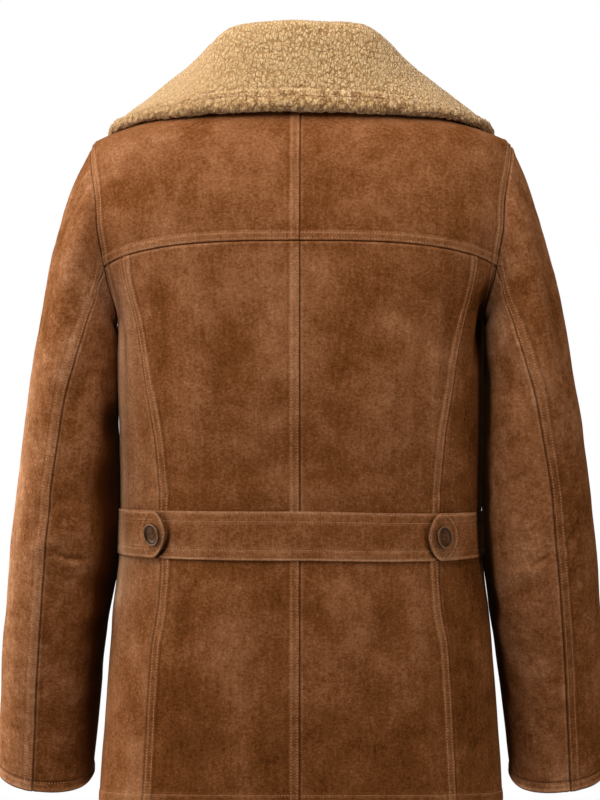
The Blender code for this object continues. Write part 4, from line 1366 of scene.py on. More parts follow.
SIDE_TO_BACK = math.pi / 2.0
SEAMS = {
    "centre_back": body_line(HEM, NECK, centre_back),
    "princess": body_line(HEM, YOKE_LEVEL, princess),
    "yoke": round_line(YOKE_LEVEL, seam_at(side_back, YOKE_LEVEL), SIDE_TO_BACK),
    "side": body_line(HEM, UNDERARM, side_back),
    "armhole_back": armhole_line(math.pi, 0.0),
    "armhole_front": armhole_line(math.pi, 2.0 * math.pi),
    "shoulder": body_line(SHOULDER_TIP, NECK, side_back),
    "front_edge": body_line(HEM, NECK, front_edge),
    "neck_back": round_line(NECK, 0.0, SIDE_TO_BACK),
    "neck_front": round_line(NECK, seam_at(front_edge, NECK), 0.0),
    "hem_back": round_line(HEM, 0.0, SIDE_TO_BACK),
    "hem_front": round_line(HEM, seam_at(front_edge, HEM), 0.0),
}
SLEEVE_SEAMS = {
    "hind": sleeve_line(hind_seam),
    "fore": sleeve_line(fore_seam),
    "cuff": round_sleeve(ARM_END, 0.0, 2.0 * math.pi),
    "cap": round_sleeve(0.0, 0.0, 2.0 * math.pi),
}

# ---- creases placed one by one ----
# on the back and the front, all in millimetres: where each starts and ends (x from the middle, + on the
# wearer's left, and level), its bow, width and height
BACK_CREASES = [
    (166, -190, 156, -375, 0, 5, 1.76),
    (149, -205, 140, -330, 0, 8.5, -1.92),
    (120, -215, 112, -420, 0, 16, 1.44),
    (75, -230, 80, -400, 0, 18, -1.28),
    (35, -260, 30, -440, 0, 20, 1.28),
    (-45, -250, -50, -430, 0, 19, -1.28),
    (-95, -235, -88, -410, 0, 18, 1.44),
    (-150, -200, -140, -400, 0, 7, 1.92),
    (-165, -215, -156, -330, 0, 8, -1.76),
    (-196, -228, -190, -300, 0, 8, -5.12),
    (196, -232, 190, -310, 0, 8.5, -3.52),
    (130, -432, -120, -434, 4, 10, 1.6),
    (168, -425, 120, -437, 0, 5, -1.6),
    (-172, -418, -128, -438, 0, 5, -1.6),
    (135, -510, 141, -640, 0, 10, 1.92),
    (118, -508, 121, -600, 0, 9, -1.6),
    (70, -512, 74, -660, 0, 18, 1.76),
    (20, -512, 22, -650, 0, 16, -1.44),
    (-40, -512, -44, -670, 0, 18, 1.6),
    (-85, -510, -92, -640, 0, 15, -1.6),
    (-122, -508, -131, -650, 0, 11, 2.08),
    (-180, -520, -186, -640, 0, 12, -1.92),
    (181, -520, 188, -650, 0, 12, -1.6),
    (205, -100, 150, -150, 4, 12, -1.6),
    (-200, -110, -150, -165, 4, 12, -1.76),
    (80, -70, -70, -72, -6, 16, 1.44),
]
FRONT_CREASES = [
    (188, -245, 120, -300, -6, 9, -3.2),
    (180, -270, 128, -345, -4, 10, 2.24),
    (-186, -240, -125, -290, -6, 9, -3.04),
    (-180, -280, -120, -360, -4, 10, 2.08),
    (110, -330, 98, -470, 0, 16, 1.92),
    (62, -350, 66, -520, 0, 15, -1.6),
    (-105, -320, -100, -480, 0, 15, 1.92),
    (-60, -360, -68, -530, 0, 15, -1.6),
    (130, -500, 142, -690, 0, 16, 2.24),
    (85, -520, 90, -700, 0, 17, -1.92),
    (-125, -510, -140, -700, 0, 15, 2.24),
    (-80, -530, -86, -710, 0, 17, -1.92),
    (20, -300, 52, -318, 3, 6, -1.44),
    (20, -402, 56, -420, 3, 6, -1.44),
    (20, -505, 50, -520, 3, 6, -1.28),
]
# on each sleeve: where each starts and ends (degrees from its outer side towards the back, and station),
# its bow in stations, and its width and height in millimetres
SLEEVE_CREASES = {
    "left": [
        (60, 0.06, 40, 0.42, 0, 7, -2.88),
        (78, 0.1, 66, 0.6, 0, 8.5, 2.08),
        (15, 0.05, 5, 0.45, 0, 9, -1.92),
        (-50, 0.08, -40, 0.5, 0, 9, -2.4),
        (120, 0.55, 60, 1.3, 0, 11, 2.56),
        (135, 0.75, 85, 1.7, 0, 10, -2.88),
        (110, 2.2, 45, 2.75, 0, 9, -2.08),
        (105, 2.6, 50, 2.95, 0, 9, 1.92),
        (-60, 2.1, -150, 2.45, 0.1, 8, -4.48),
        (-70, 2.4, -160, 2.7, 0.1, 8, 3.2),
        (-55, 2.75, -150, 2.95, 0.1, 8, -3.84),
        (30, 3.2, 20, 4.6, 0, 16, 1.92),
        (95, 3.6, 88, 5, 0, 13, -1.76),
        (-30, 1.2, -20, 2.2, 0, 15, 1.92),
        (20, 0.12, 24, 1.1, 0, 5, 2.08),
        (40, 0.16, 42, 1, 0, 8, -1.76),
        (77, 2.84, 124, 2.9, 0.04, 2.6, -2.4),
        (80, 2.92, 126, 2.97, 0.03, 4, 2.08),
        (78, 2.68, 104, 2.66, -0.02, 2.6, -1.6),
        (88, 3.08, 132, 3.14, 0.02, 3.4, -1.6),
        (14, 1.6, 10, 3.6, 0, 6, 1.6),
        (28, 2.2, 24, 4.4, 0, 5.5, -1.44),
    ],
    "right": [
        (50, 0.05, 30, 0.4, 0, 7, -2.56),
        (80, 0.12, 70, 0.55, 0, 8.5, 1.92),
        (10, 0.06, 0, 0.5, 0, 9, -1.92),
        (-55, 0.08, -45, 0.55, 0, 9, -2.4),
        (118, 0.6, 65, 1.4, 0, 11, 2.56),
        (130, 0.8, 80, 1.8, 0, 10, -2.88),
        (42, 2.52, 70, 2.86, 0.02, 2.6, -2.72),
        (44, 2.66, 71, 2.97, 0.02, 5, 2.08),
        (76, 2.88, 108, 3.03, -0.02, 2.8, -2.24),
        (80, 3.02, 128, 3.1, -0.02, 6, 2.24),
        (84, 3.18, 130, 3.3, 0, 8, -1.44),
        (18, 0.14, 26, 1, 0, 5.5, 2.08),
        (38, 0.2, 46, 1.1, 0, 8.5, -2.08),
        (62, 0.5, 60, 1.2, 0, 8, 1.6),
        (-60, 2.2, -150, 2.5, 0.1, 8, -4.48),
        (-70, 2.5, -160, 2.8, 0.1, 8, 3.2),
        (-50, 2.85, -150, 3.05, 0.1, 8, -3.84),
        (35, 3.5, 25, 4.8, 0, 16, 1.92),
        (92, 3.4, 86, 4.9, 0, 13, -1.76),
    ],
}


def crease_lines(hand):
    """The creases of the body and of one sleeve as lines with a width and a height."""
    whole, arm = body_form("left"), sleeve_form(hand)
    found = {"body": [], "sleeve": []}
    for table, side in ((BACK_CREASES, 1), (FRONT_CREASES, -1)):
        for crease in table:
            crease = Crease(*(size / 1000.0 for size in crease))
            line = crease_line(whole, crease, lambda x, level, side=side: turn_at_x(x, level, side))
            found["body"].append((line, crease.width, crease.height))
    for crease in SLEEVE_CREASES[hand]:
        crease = Crease(*crease)
        line = crease_line(arm, crease, lambda angle, station: np.radians(angle))
        found["sleeve"].append((line, crease.width / 1000.0, crease.height / 1000.0))
    return found


# ---- pieces ----
# the cut of each piece: its width, length and area, metres and square metres
Cut = namedtuple("Cut", "width length area")
CUTS = {
    "back_yoke": Cut(0.250, 0.215, 0.0420),
    "back_center": Cut(0.195, 0.600, 0.1010),
    "back_side": Cut(0.140, 0.600, 0.0600),
    "front": Cut(0.350, 0.790, 0.2000),
    "sleeve_upper": Cut(0.320, 0.740, 0.1600),
    "sleeve_under": Cut(0.170, 0.600, 0.0950),
    "belt_center": Cut(0.370, 0.052, 0.0185),
    "belt_tab": Cut(0.130, 0.052, 0.0055),
    "collar": Cut(0.230, 1.000, 0.1500),
}


def declare(piece, node, cut):
    """A finished sheet of cloth that stands for its solid."""
    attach(piece, "root")
    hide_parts(node)


stitch_rows = {"body": [], "sleeves": [], "belt": []}      # filled by sewn, used by make_stitches


def sewn(group, piece, seam, distances, sign=1.0, part=None):
    """Rows of stitches beside a seam."""
    u, v = seam
    if part is not None:
        u, v = u[part], v[part]
    for distance in distances:
        stitch_rows[group].append(piece.stitch_line(u, v, distance * sign * piece.form.flip[0]))


def cut_out(piece, name, first, last, guide, start, end, close, parts=3):
    rows = rows_along(lambda v: piece.form.point(np.full_like(v, guide), v), start, end)
    rows = closer(rows, *close, parts)
    u = columns_across(piece.form, first, last, rows)
    v = np.broadcast_to(rows[:, None], u.shape)
    declare(piece.build(u, v, SUEDE), name, CUTS[name.rsplit("_", 1)[0]])


def body_piece(kind, hand, first, last, low, high, borders, creases, form=None):
    """A panel of the body between two seams, over a run of levels."""
    form = form or body_form(hand)
    lines = [(form.point(*SEAMS[name]), edge) for name, edge in borders]
    belted = kind.startswith("back")
    piece = Piece(f"{kind}_{hand}_suede", form, lines, creases["body"],
                  shade=lambda points: side_shade(hand, points, belted))
    halfway = np.array([(low + high) / 2.0])
    guide_turn = float(np.mean([first(halfway), last(halfway)]))
    cut_out(piece, f"{kind}_{hand}", first, last, guide_turn, low, high, BELT_SHADE_ZONE, 4 if belted else 1)
    return piece


def make_backs(hand, creases):
    """The yoke, centre and side panels of one side of the back."""
    centre_edge = ridge if hand == "left" else tuck
    yoke = body_piece("back_yoke", hand, side_back, centre_back, YOKE_LEVEL, NECK,
                      [("yoke", ridge), ("armhole_back", ridge), ("shoulder", plain),
                       ("centre_back", centre_edge)], creases)
    centre = body_piece("back_center", hand, princess, centre_back, HEM, YOKE_LEVEL,
                        [("yoke", tuck), ("princess", ridge), ("hem_back", hem),
                         ("centre_back", centre_edge)], creases)
    side = body_piece("back_side", hand, side_back, princess, HEM, YOKE_LEVEL,
                      [("yoke", tuck), ("princess", tuck), ("side", plain), ("armhole_back", ridge),
                       ("hem_back", hem)], creases)
    above = SEAMS["centre_back"][1] > YOKE_LEVEL + CROSSING_GAP
    below = SEAMS["centre_back"][1] < YOKE_LEVEL - CROSSING_GAP
    sewn("body", yoke, SEAMS["yoke"], RIDGE_ROWS)
    if hand == "left":
        sewn("body", yoke, SEAMS["centre_back"], RIDGE_ROWS, part=above)
        sewn("body", centre, SEAMS["centre_back"], RIDGE_ROWS, part=below)
    sewn("body", centre, SEAMS["princess"], RIDGE_ROWS, -1.0)
    level = SEAMS["armhole_back"][1]
    sewn("body", yoke, SEAMS["armhole_back"], RIDGE_ROWS, -1.0, level > YOKE_LEVEL + ARMHOLE_GAP)
    sewn("body", side, SEAMS["armhole_back"], RIDGE_ROWS, -1.0, level < YOKE_LEVEL - ARMHOLE_GAP)
    turn = SEAMS["hem_back"][0]
    seam_turn = seam_at(princess, HEM)
    sewn("body", centre, SEAMS["hem_back"], HEM_ROWS, part=turn > seam_turn)
    sewn("body", side, SEAMS["hem_back"], HEM_ROWS, part=turn < seam_turn)


def make_front(hand, creases):
    """The front of one side, from the neck to the hem."""
    front = body_piece("front", hand, front_edge, side_front, HEM, NECK,
                       [("front_edge", hem), ("side", plain), ("armhole_front", ridge), ("shoulder", plain),
                        ("neck_front", plain), ("hem_front", hem)], creases, front_form(hand))
    low = SEAMS["front_edge"][1] < BREAK + LAPEL_ROWS
    sewn("body", front, SEAMS["front_edge"], HEM_ROWS, -1.0, low)
    sewn("body", front, SEAMS["armhole_front"], RIDGE_ROWS)
    sewn("body", front, SEAMS["hem_front"], HEM_ROWS)


def make_sleeve(hand, creases):
    """The upper and the under sleeve of one arm."""
    form = sleeve_form(hand)
    lines = {name: form.point(*seam) for name, seam in SLEEVE_SEAMS.items()}
    parts = (("upper", fore_seam_before, hind_seam, sleeve_ridge), ("under", hind_seam, fore_seam, tuck))
    for part, first, last, hind_edge in parts:
        piece = Piece(f"sleeve_{part}_{hand}_suede", form,
                      [(lines["hind"], hind_edge), (lines["fore"], plain), (lines["cap"], tuck),
                       (lines["cuff"], cuff)], creases["sleeve"], uneven=SLEEVE_UNEVEN,
                      shade=lambda points: sleeve_shade(hand, points), mottled=SLEEVE_MOTTLING)
        guide = math.radians(SLEEVE_GUIDES[part])
        cut_out(piece, f"sleeve_{part}_{hand}", first, last, guide, ARM_END, 0.0, ELBOW_ZONE)
        start, end = seam_at(first, ARM_END), seam_at(last, ARM_END)
        sewn("sleeves", piece, round_sleeve(ARM_END, start, end), HEM_ROWS)
        if part == "upper":
            sewn("sleeves", piece, SLEEVE_SEAMS["hind"], RIDGE_ROWS, -1.0)


# ---- stitches ----
def stitch_tree():
    """Stitches at an even pitch along lines, lying along them and facing out."""
    tree, nodes, given = new_tool("stitches", "Lines", "Stitches", {
        "Pitch": STITCH_PITCH, "Length": STITCH_PITCH * STITCH_SHARE, "Thread": THREAD})
    curve = nodes.make("GeometryNodeMeshToCurve", None, {"Mesh": given["Lines"]})
    even = nodes.make("GeometryNodeResampleCurve", {"mode": "LENGTH"},
                      {"Curve": curve, "Length": given["Pitch"]})
    out = nodes.make("GeometryNodeInputNamedAttribute", {"data_type": "FLOAT_VECTOR"}, {"Name": "out"})
    run = nodes.make("GeometryNodeInputTangent")
    facing = nodes.make("FunctionNodeAxesToRotation", {"primary_axis": "X", "secondary_axis": "Z"},
                        {"Primary Axis": run, "Secondary Axis": out.outputs["Attribute"]})
    ball = nodes.make("GeometryNodeMeshUVSphere", None, {"Segments": 6, "Rings": 3, "Radius": 0.5})
    size = nodes.make("ShaderNodeCombineXYZ", None,
                      {"X": given["Length"], "Y": given["Thread"], "Z": given["Thread"]})
    stitch = nodes.make("GeometryNodeTransform", None, {"Geometry": ball, "Scale": size})
    vary = nodes.make("FunctionNodeRandomValue", {"data_type": "FLOAT"},
                      {"Min_001": 0.88, "Max_001": 1.12, "Seed": 4})
    along = nodes.make("GeometryNodeInstanceOnPoints", None, {
        "Points": even, "Instance": stitch, "Rotation": facing,
        "Scale": nodes.socket(vary.outputs, "Value_001")})
    real = nodes.make("GeometryNodeRealizeInstances", None, {"Geometry": along})
    smooth = nodes.make("GeometryNodeSetShadeSmooth", None, {"Geometry": real})
    coloured = nodes.make("GeometryNodeSetMaterial", None, {"Geometry": smooth, "Material": THREAD_COLOUR})
    nodes.make("NodeGroupOutput", None, {"Stitches": coloured})
    return tree


def from_nodes(name, source, tree):
    """The plain mesh that a tree makes of an object, in place of the object."""
    modifier = source.modifiers.new("nodes", "NODES")
    modifier.node_group = tree
    graph = bpy.context.evaluated_depsgraph_get()
    mesh = bpy.data.meshes.new_from_object(source.evaluated_get(graph))
    mesh.name = name
    bpy.data.objects.remove(source)
    return placed(name, mesh)


def make_stitches(tree):
    """All rows of a group as one mesh of thread."""
    for group, rows in stitch_rows.items():
        points, out, deep = (np.concatenate(values) for values in zip(*rows))
        edges, start = [], 0
        for line, _, _ in rows:
            edges += [(start + i, start + i + 1) for i in range(len(line) - 1)]
            start += len(line)
        mesh = bpy.data.meshes.new("rows")
        mesh.from_pydata(points.tolist(), edges, [])
        mesh.attributes.new("out", "FLOAT_VECTOR", "POINT").data.foreach_set("vector", out.ravel())
        store(mesh, {"deep": deep})
        piece = from_nodes(f"stitches_{group}", placed("rows", mesh), tree)
        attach(piece, "root")


# ---- belt and tabs ----
def make_belt():
    """The belt across the back, its ends under the tabs."""
    form = belt_form()
    levels = BELT_BOTTOM + spaced(BELT_TOP - BELT_BOTTOM, BELT_STEP)
    start = float(turn_at_x(BELT_END, BELT_MIDDLE, 1))

    def first(v):
        return np.full_like(v, start)

    def last(v):
        return np.full_like(v, math.pi - start)

    def sag(turns):
        return BELT_SAG["right"] * ease(math.pi / 2.0, math.pi - start, turns)

    u = columns_across(form, first, last, levels, BELT_CELL)
    v = levels[:, None] - sag(u)
    bottom, top = ((turns, at - sag(turns)) for turns, at in
                   (round_line(level, start, math.pi - start) for level in (BELT_BOTTOM, BELT_TOP)))
    lines = [(form.point(*bottom), strap_edge), (form.point(*top), strap_edge)]
    piece = Piece("belt_center_suede", form, lines, (), BELT_WALL, BELT_UNEVEN, belt_shade)
    declare(piece.build(u, v, SUEDE), "belt_center", CUTS["belt_center"])
    sewn("belt", piece, bottom, BELT_ROWS)
    sewn("belt", piece, top, BELT_ROWS, -1.0)


def tab_reach(share):
    """The half width of a tab's rounded point, as a share, from its corners (0) to its tip (1)."""
    return (1.0 - np.clip(share, 0.0, 1.0) ** TAB_ROUND[0]) ** TAB_ROUND[1]


def make_tab(hand):
    """A tab from the side seam, over the belt's end, to its blunt point."""
    tip, middle = TAB_TIP[hand], BELT_MIDDLE - BELT_SAG[hand]
    half = (BELT_TOP - BELT_BOTTOM) / 2.0
    turns_side = seam_at(side_back, BELT_MIDDLE)
    turn_tip, turn_corner, turn_back = (float(turn_at_x(x, BELT_MIDDLE, 1)) for x in
                                        (tip, tip + TAB_POINT, tip + 2.0 * TAB_BUTTON[hand] + TAB_RING))

    def lift(u, v):
        """Up from the belt's height on to the belt's end, and more at the loose tip."""
        u = np.asarray(u)
        return (BELT_LIFT + (TAB_LIFT - BELT_LIFT) * ease(*TAB_CLIMB, u / turn_tip)
                + TAB_TIP_LIFT[hand] * ease(turn_corner - TAB_TIP_RUN, turn_tip, u))

    form = body_form(hand, lift)
    share = np.concatenate([np.zeros(TAB_COLUMNS), 1.0 - np.linspace(1.0, 0.0, 19)[1:] ** 2])
    run = np.concatenate([np.linspace(turns_side, turn_corner, TAB_COLUMNS),
                          turn_corner + share[TAB_COLUMNS:] * (turn_tip - turn_corner)])
    reach = half * np.maximum(tab_reach(share), TAB_BLUNT)
    steps_up = np.linspace(-1.0, 1.0, 33)
    u = np.broadcast_to(run[None, :], (len(steps_up), len(run)))
    v = middle + steps_up[:, None] * reach[None, :]
    top = np.stack([run, middle + reach], axis=1)
    bottom = np.stack([run, middle - reach], axis=1)
    outline = np.concatenate([bottom, top[::-1]])
    corner = turn_corner + TAB_CLOSE * (turn_back - turn_corner)
    up = np.linspace(TAB_CLOSE_HALF, -TAB_CLOSE_HALF, 60)
    in_turn = 1.0 - np.abs(up / TAB_CLOSE_HALF) ** TAB_CLOSE_BEND
    close = np.stack([corner + (turn_back - corner) * in_turn, middle + half * up], axis=1)
    borders = [(form.point(*outline.T), strap_edge), (form.point(*close.T), WELTS[hand])]
    piece = Piece(f"belt_tab_{hand}_suede", form, borders, (), BELT_WALL, BELT_UNEVEN,
                  shade=lambda points: side_shade(hand, points))
    declare(piece.build(u, v, SUEDE), f"belt_tab_{hand}", CUTS["belt_tab"])
    rows = np.concatenate([bottom, np.linspace(bottom[-1], top[-1], 12)[1:-1], top[::-1]])
    sewn("belt", piece, tuple(rows.T), (BELT_ROWS[0],))
    sewn("belt", piece, tuple(close.T), (0.0,))


# ---- buttons ----
# a button's turned outline: shares of its radius and thickness
BUTTON = [
    (0.000, 0.52),
    (0.480, 0.53),
    (0.620, 0.56),
    (0.700, 0.66),
    (0.760, 0.86),
    (0.830, 0.98),
    (0.900, 1.00),
    (0.960, 0.90),
    (0.995, 0.70),
    (1.000, 0.45),
    (0.960, 0.18),
    (0.860, 0.03),
    (0.700, 0.00),
    (0.000, 0.00),
]
BUTTON_SIDES = 48
BUTTON_HOLE = 0.00115
BUTTON_HOLE_APART = 0.0023
HOLES_OUT = BUTTON_HOLE_APART * math.sqrt(2.0) / BUTTON_RADIUS
# painted highlight (+) on the rim, painted shade (-) beside it and round the holes: height, share of the
# radius and width
RIM_LIGHT_AND_SHADE = ((1.15, 0.89, 0.06), (-1.0, 0.72, 0.07), (-1.0, 1.02, 0.05), (-0.8, HOLES_OUT, 0.04))
THREAD_STRAND = 0.00034
STRANDS_APART = 0.0005
THREAD_ARCH = 0.00055            # how high it stands over the button's face, and how far it dips into a hole
THREAD_DIP = 0.0008


def button_mesh():
    """A turned button with a raised rim and four holes."""
    mesh = bmesh.new()
    profile = [mesh.verts.new((out * BUTTON_RADIUS, 0.0, up * BUTTON_THICK)) for out, up in BUTTON]
    edges = [mesh.edges.new(pair) for pair in zip(profile, profile[1:])]
    bmesh.ops.spin(mesh, geom=profile + edges, cent=(0, 0, 0), axis=(0, 0, 1), angle=2.0 * math.pi,
                   steps=BUTTON_SIDES, use_merge=True)
    bmesh.ops.remove_doubles(mesh, verts=mesh.verts, dist=0.00001)
    bmesh.ops.recalc_face_normals(mesh, faces=mesh.faces)
    disc = placed("button", finished(mesh, "button"))
    drill = bmesh.new()
    for sx, sy in itertools.product((-1, 1), repeat=2):
        place = Matrix.Translation((sx * BUTTON_HOLE_APART, sy * BUTTON_HOLE_APART, BUTTON_THICK / 2.0))
        bmesh.ops.create_cone(drill, cap_ends=True, segments=16, radius1=BUTTON_HOLE, radius2=BUTTON_HOLE,
                              depth=BUTTON_THICK * 2.0, matrix=place)
    cutter = placed("drill", finished(drill, "drill"))
    cut = disc.modifiers.new("holes", "BOOLEAN")
    cut.object, cut.operation, cut.solver = cutter, "DIFFERENCE", "EXACT"
    graph = bpy.context.evaluated_depsgraph_get()
    made = bpy.data.meshes.new_from_object(disc.evaluated_get(graph))
    for used in (disc, cutter):
        bpy.data.objects.remove(used)
    made.materials.clear()
    made.materials.append(HORN)
    made.shade_smooth()
    made.set_sharp_from_angle(angle=math.radians(40.0))
    out = np.array([vertex.co.xy.length for vertex in made.vertices]) / BUTTON_RADIUS
    store(made, {"rim": humps(out, RIM_LIGHT_AND_SHADE)})
    return made


def thread_mesh():
    """Two bars of three strands through the four holes."""
    mesh = bmesh.new()
    for side, strand in itertools.product((-1, 1), (-1, 0, 1)):
        arch = []
        for t in np.linspace(-1.0, 1.0, 9):
            rise = THREAD_ARCH * math.sqrt(max(0.0, 1.0 - t ** 4)) - THREAD_DIP * abs(t) ** 8
            arch.append(Vector((t * BUTTON_HOLE_APART, side * BUTTON_HOLE_APART + strand * STRANDS_APART,
                                BUTTON_THICK * BUTTON[0][1] + rise)))
        tube(mesh, arch, THREAD_STRAND, 6)
    data = finished(mesh, "button_thread")
    data.materials.append(DARK_THREAD)
    data.shade_smooth()
    return data


def tube(mesh, line, radius, sides):
    """A closed round tube along a line."""
    rings = []
    for i, at in enumerate(line):
        ahead, behind = line[min(i + 1, len(line) - 1)], line[max(i - 1, 0)]
        turn = (ahead - behind).to_track_quat("Z", "Y")
        rings.append([mesh.verts.new(at + turn @ Vector((radius * math.cos(a), radius * math.sin(a), 0.0)))
                      for a in np.linspace(0.0, 2.0 * math.pi, sides, endpoint=False)])
    for low, high in zip(rings, rings[1:]):
        for i in range(sides):
            mesh.faces.new((low[i], low[(i + 1) % sides], high[(i + 1) % sides], high[i]))
    mesh.faces.new(rings[0][::-1])
    mesh.faces.new(rings[-1])


def place_button(node, shape, thread, at, facing, spin):
    """A button and its thread where its solid is."""
    stand = Matrix.Translation(Vector(at)) @ Vector(facing).to_track_quat("Z", "Y").to_matrix().to_4x4()
    stand = stand @ Matrix.Rotation(math.radians(spin), 4, "Z")
    for name, data in ((f"{node}_turned", shape), (f"{node}_thread", thread)):
        mesh = data.copy()
        mesh.transform(stand)
        piece = placed(name, mesh)
        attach(piece, "root")
        if data is shape:
            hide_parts(node)


def make_buttons():
    """The belt's buttons, standing off on their thread and tipped, and the front's, flat on it."""
    shape, thread = button_mesh(), thread_mesh()
    for hand, sign in SIDES.items():
        level = BELT_MIDDLE - BELT_SAG[hand]
        turn = turn_at_x(TAB_TIP[hand] + TAB_BUTTON[hand], level, 1)
        flip = np.array([sign, 1.0, 1.0])
        out = body_normal(turn, level)
        at = body(turn, level) + out * (TAB_LIFT + TAB_TIP_LIFT[hand] * 0.5 + BUTTON_SHANK)
        tilt = math.radians(BUTTON_TILT[hand])
        across = np.array([out[1], -out[0], 0.0])
        droop = np.array([0.0, 0.0, -BUTTON_DROOP[hand]])
        facing = unit(out * math.cos(tilt) + across * math.sin(tilt) + droop)
        place_button(f"belt_button_{hand}", shape, thread, at * flip, facing * flip, BUTTON_SPIN[hand])
    for number, level in enumerate(FRONT_BUTTON_LEVELS, start=1):
        out = body_normal(-math.pi / 2.0, level)
        at = body(-math.pi / 2.0, level) + out * BUTTON_CLEAR
        place_button(f"front_button_{number}", shape, thread, at, out, FRONT_SPIN * number)


# ---- the fleece collar ----
CURLS = {"Small Curl": 0.0052, "Large Curl": 0.0088, "Small Height": 0.0007, "Large Height": 0.0019,
         "Warp": 0.0042}


def fleece_tree():
    """Curls: warped cells pushed out along the surface, larger where the value roll is one."""
    tree, nodes, given = new_tool("curls", "Collar", "Curls", CURLS)
    size = {name: Number(nodes, given[name]) for name in CURLS}
    place = nodes.make("GeometryNodeInputPosition").outputs[0]
    roll = Number(nodes, nodes.make("GeometryNodeInputNamedAttribute", {"data_type": "FLOAT"},
                                    {"Name": "roll"}).outputs["Attribute"])

    def cells(curl, lumps):
        """Domed cells as wide as a curl, warped by noise with lumps that many times as wide."""
        at = nodes.warped(place, 1.0 / (curl * lumps), 1.5, size["Warp"])
        edge = nodes.make("ShaderNodeTexVoronoi", {"feature": "DISTANCE_TO_EDGE"},
                          {"Vector": at, "Scale": 1.0 / curl, "Randomness": 1.0})
        dome = (nodes.number(edge, "Distance") * 3.4).smallest(1.0)
        return dome * (2.0 - dome)

    small, large = cells(size["Small Curl"], 1.6), cells(size["Large Curl"], 1.3)
    height = (small * size["Small Height"] * (1.0 - roll * 0.45)
              + large * size["Large Height"] * roll)
    out = nodes.make("GeometryNodeInputNormal").outputs[0]
    push = nodes.vector("SCALE", out, height - size["Small Height"], "Scale")
    tuft = small * (1.0 - roll * 0.5) + large * roll * 0.5
    stored = nodes.make("GeometryNodeStoreNamedAttribute", {"data_type": "FLOAT", "domain": "POINT"},
                        {"Geometry": given["Collar"], "Name": "tuft", "Value": tuft})
    moved = nodes.make("GeometryNodeSetPosition", None, {"Geometry": stored, "Offset": push})
    coloured = nodes.make("GeometryNodeSetMaterial", None, {"Geometry": moved, "Material": FLEECE})
    nodes.make("NodeGroupOutput", None, {"Curls": coloured})
    return tree


CREST_ROW, EDGE_ROW = 36, 74     # rows of the section up to the crest, and from there to the edge
BACK_STEP = 3
COLLAR_STEPS = 262
GROOVE_DEPTH = 0.0011            # between the smooth fall and the curlier roll along the edge
GROOVE_WIDTH = 0.0022
ROLL_SWELL = 0.0006
FLAT_LIT = 0.60                      # how much flatter the curls are combed on the wearer's left
FLAT_LIT_ZONE = (0.01, 0.14)
COLLAR_SWAY = ((0.055, 1.9, 0.0016), (0.021, 5.2, 0.0007))       # waves in it: size, shift and height
ROLL_BLEND = (-0.0005, 0.0025)   # round the line where the curls change from small to large


def collar_section(stations):
    """Points all round the collar's section at each station of its left half, with two values: how far each
    is into the roll, and how near the seam above it."""
    outside = np.concatenate([np.linspace(0.0, 1.0, CREST_ROW + 1)[:-1], np.linspace(1.0, 2.0, EDGE_ROW)])
    station, place = np.meshgrid(stations, outside, indexing="ij")
    line = collar_line(station, place)
    down_it = unit(collar_line(station, np.minimum(place + SMALL_STATION, 2.0))
                   - collar_line(station, np.maximum(place - SMALL_STATION, 0.0)))
    along_it = unit(collar_line(np.minimum(station + SMALL_STATION, stations[-1]), place)
                    - collar_line(np.maximum(station - SMALL_STATION, 0.0), place))
    fleece = unit(np.cross(along_it, down_it))
    full = COLLAR_SEWN + (1.0 - COLLAR_SEWN) * np.clip(2.0 * place, 0.0, 1.0)[..., None]
    share = np.clip(place - 1.0, 0.0, 1.0)[..., None] ** 2
    roll = column(COLLAR, 8, station)[..., None]
    half = (COLLAR_THICK * full + (roll - COLLAR_THICK) * share) / 2.0
    fall = np.linalg.norm(line[:, -1] - line[:, CREST_ROW], axis=-1)[:, None]
    span = column(COLLAR, 9, station)
    to_edge = (2.0 - place) * fall
    groove = GROOVE_DEPTH * bump(to_edge, span + GROOVE_WIDTH, GROOVE_WIDTH)
    swell = ROLL_SWELL * bump(to_edge, span * 0.5, span * 0.5)
    front = line + fleece * (half - (groove - swell)[..., None])
    back = (line - half * fleece)[:, ::BACK_STEP]
    edge, last = line[:, -1], half[:, -1]
    turns = np.radians(np.linspace(0.0, 180.0, 17)[1:-1])
    end = [edge + last * (math.cos(t) * fleece[:, -1] + math.sin(t) * down_it[:, -1]) for t in turns]
    points = np.concatenate([front, np.stack(end, axis=1), back[:, ::-1]], axis=1)
    in_roll = 1.0 - ease(*ROLL_BLEND, to_edge - span)
    values = np.concatenate([in_roll, np.ones((len(stations), len(turns))), in_roll[:, ::BACK_STEP][:, ::-1]],
                            axis=1)
    seam = bump(to_edge, span + 0.0005, 0.0008)
    seams = np.concatenate([seam, np.zeros((len(stations), values.shape[1] - seam.shape[1]))], axis=1)
    return points, values, seams


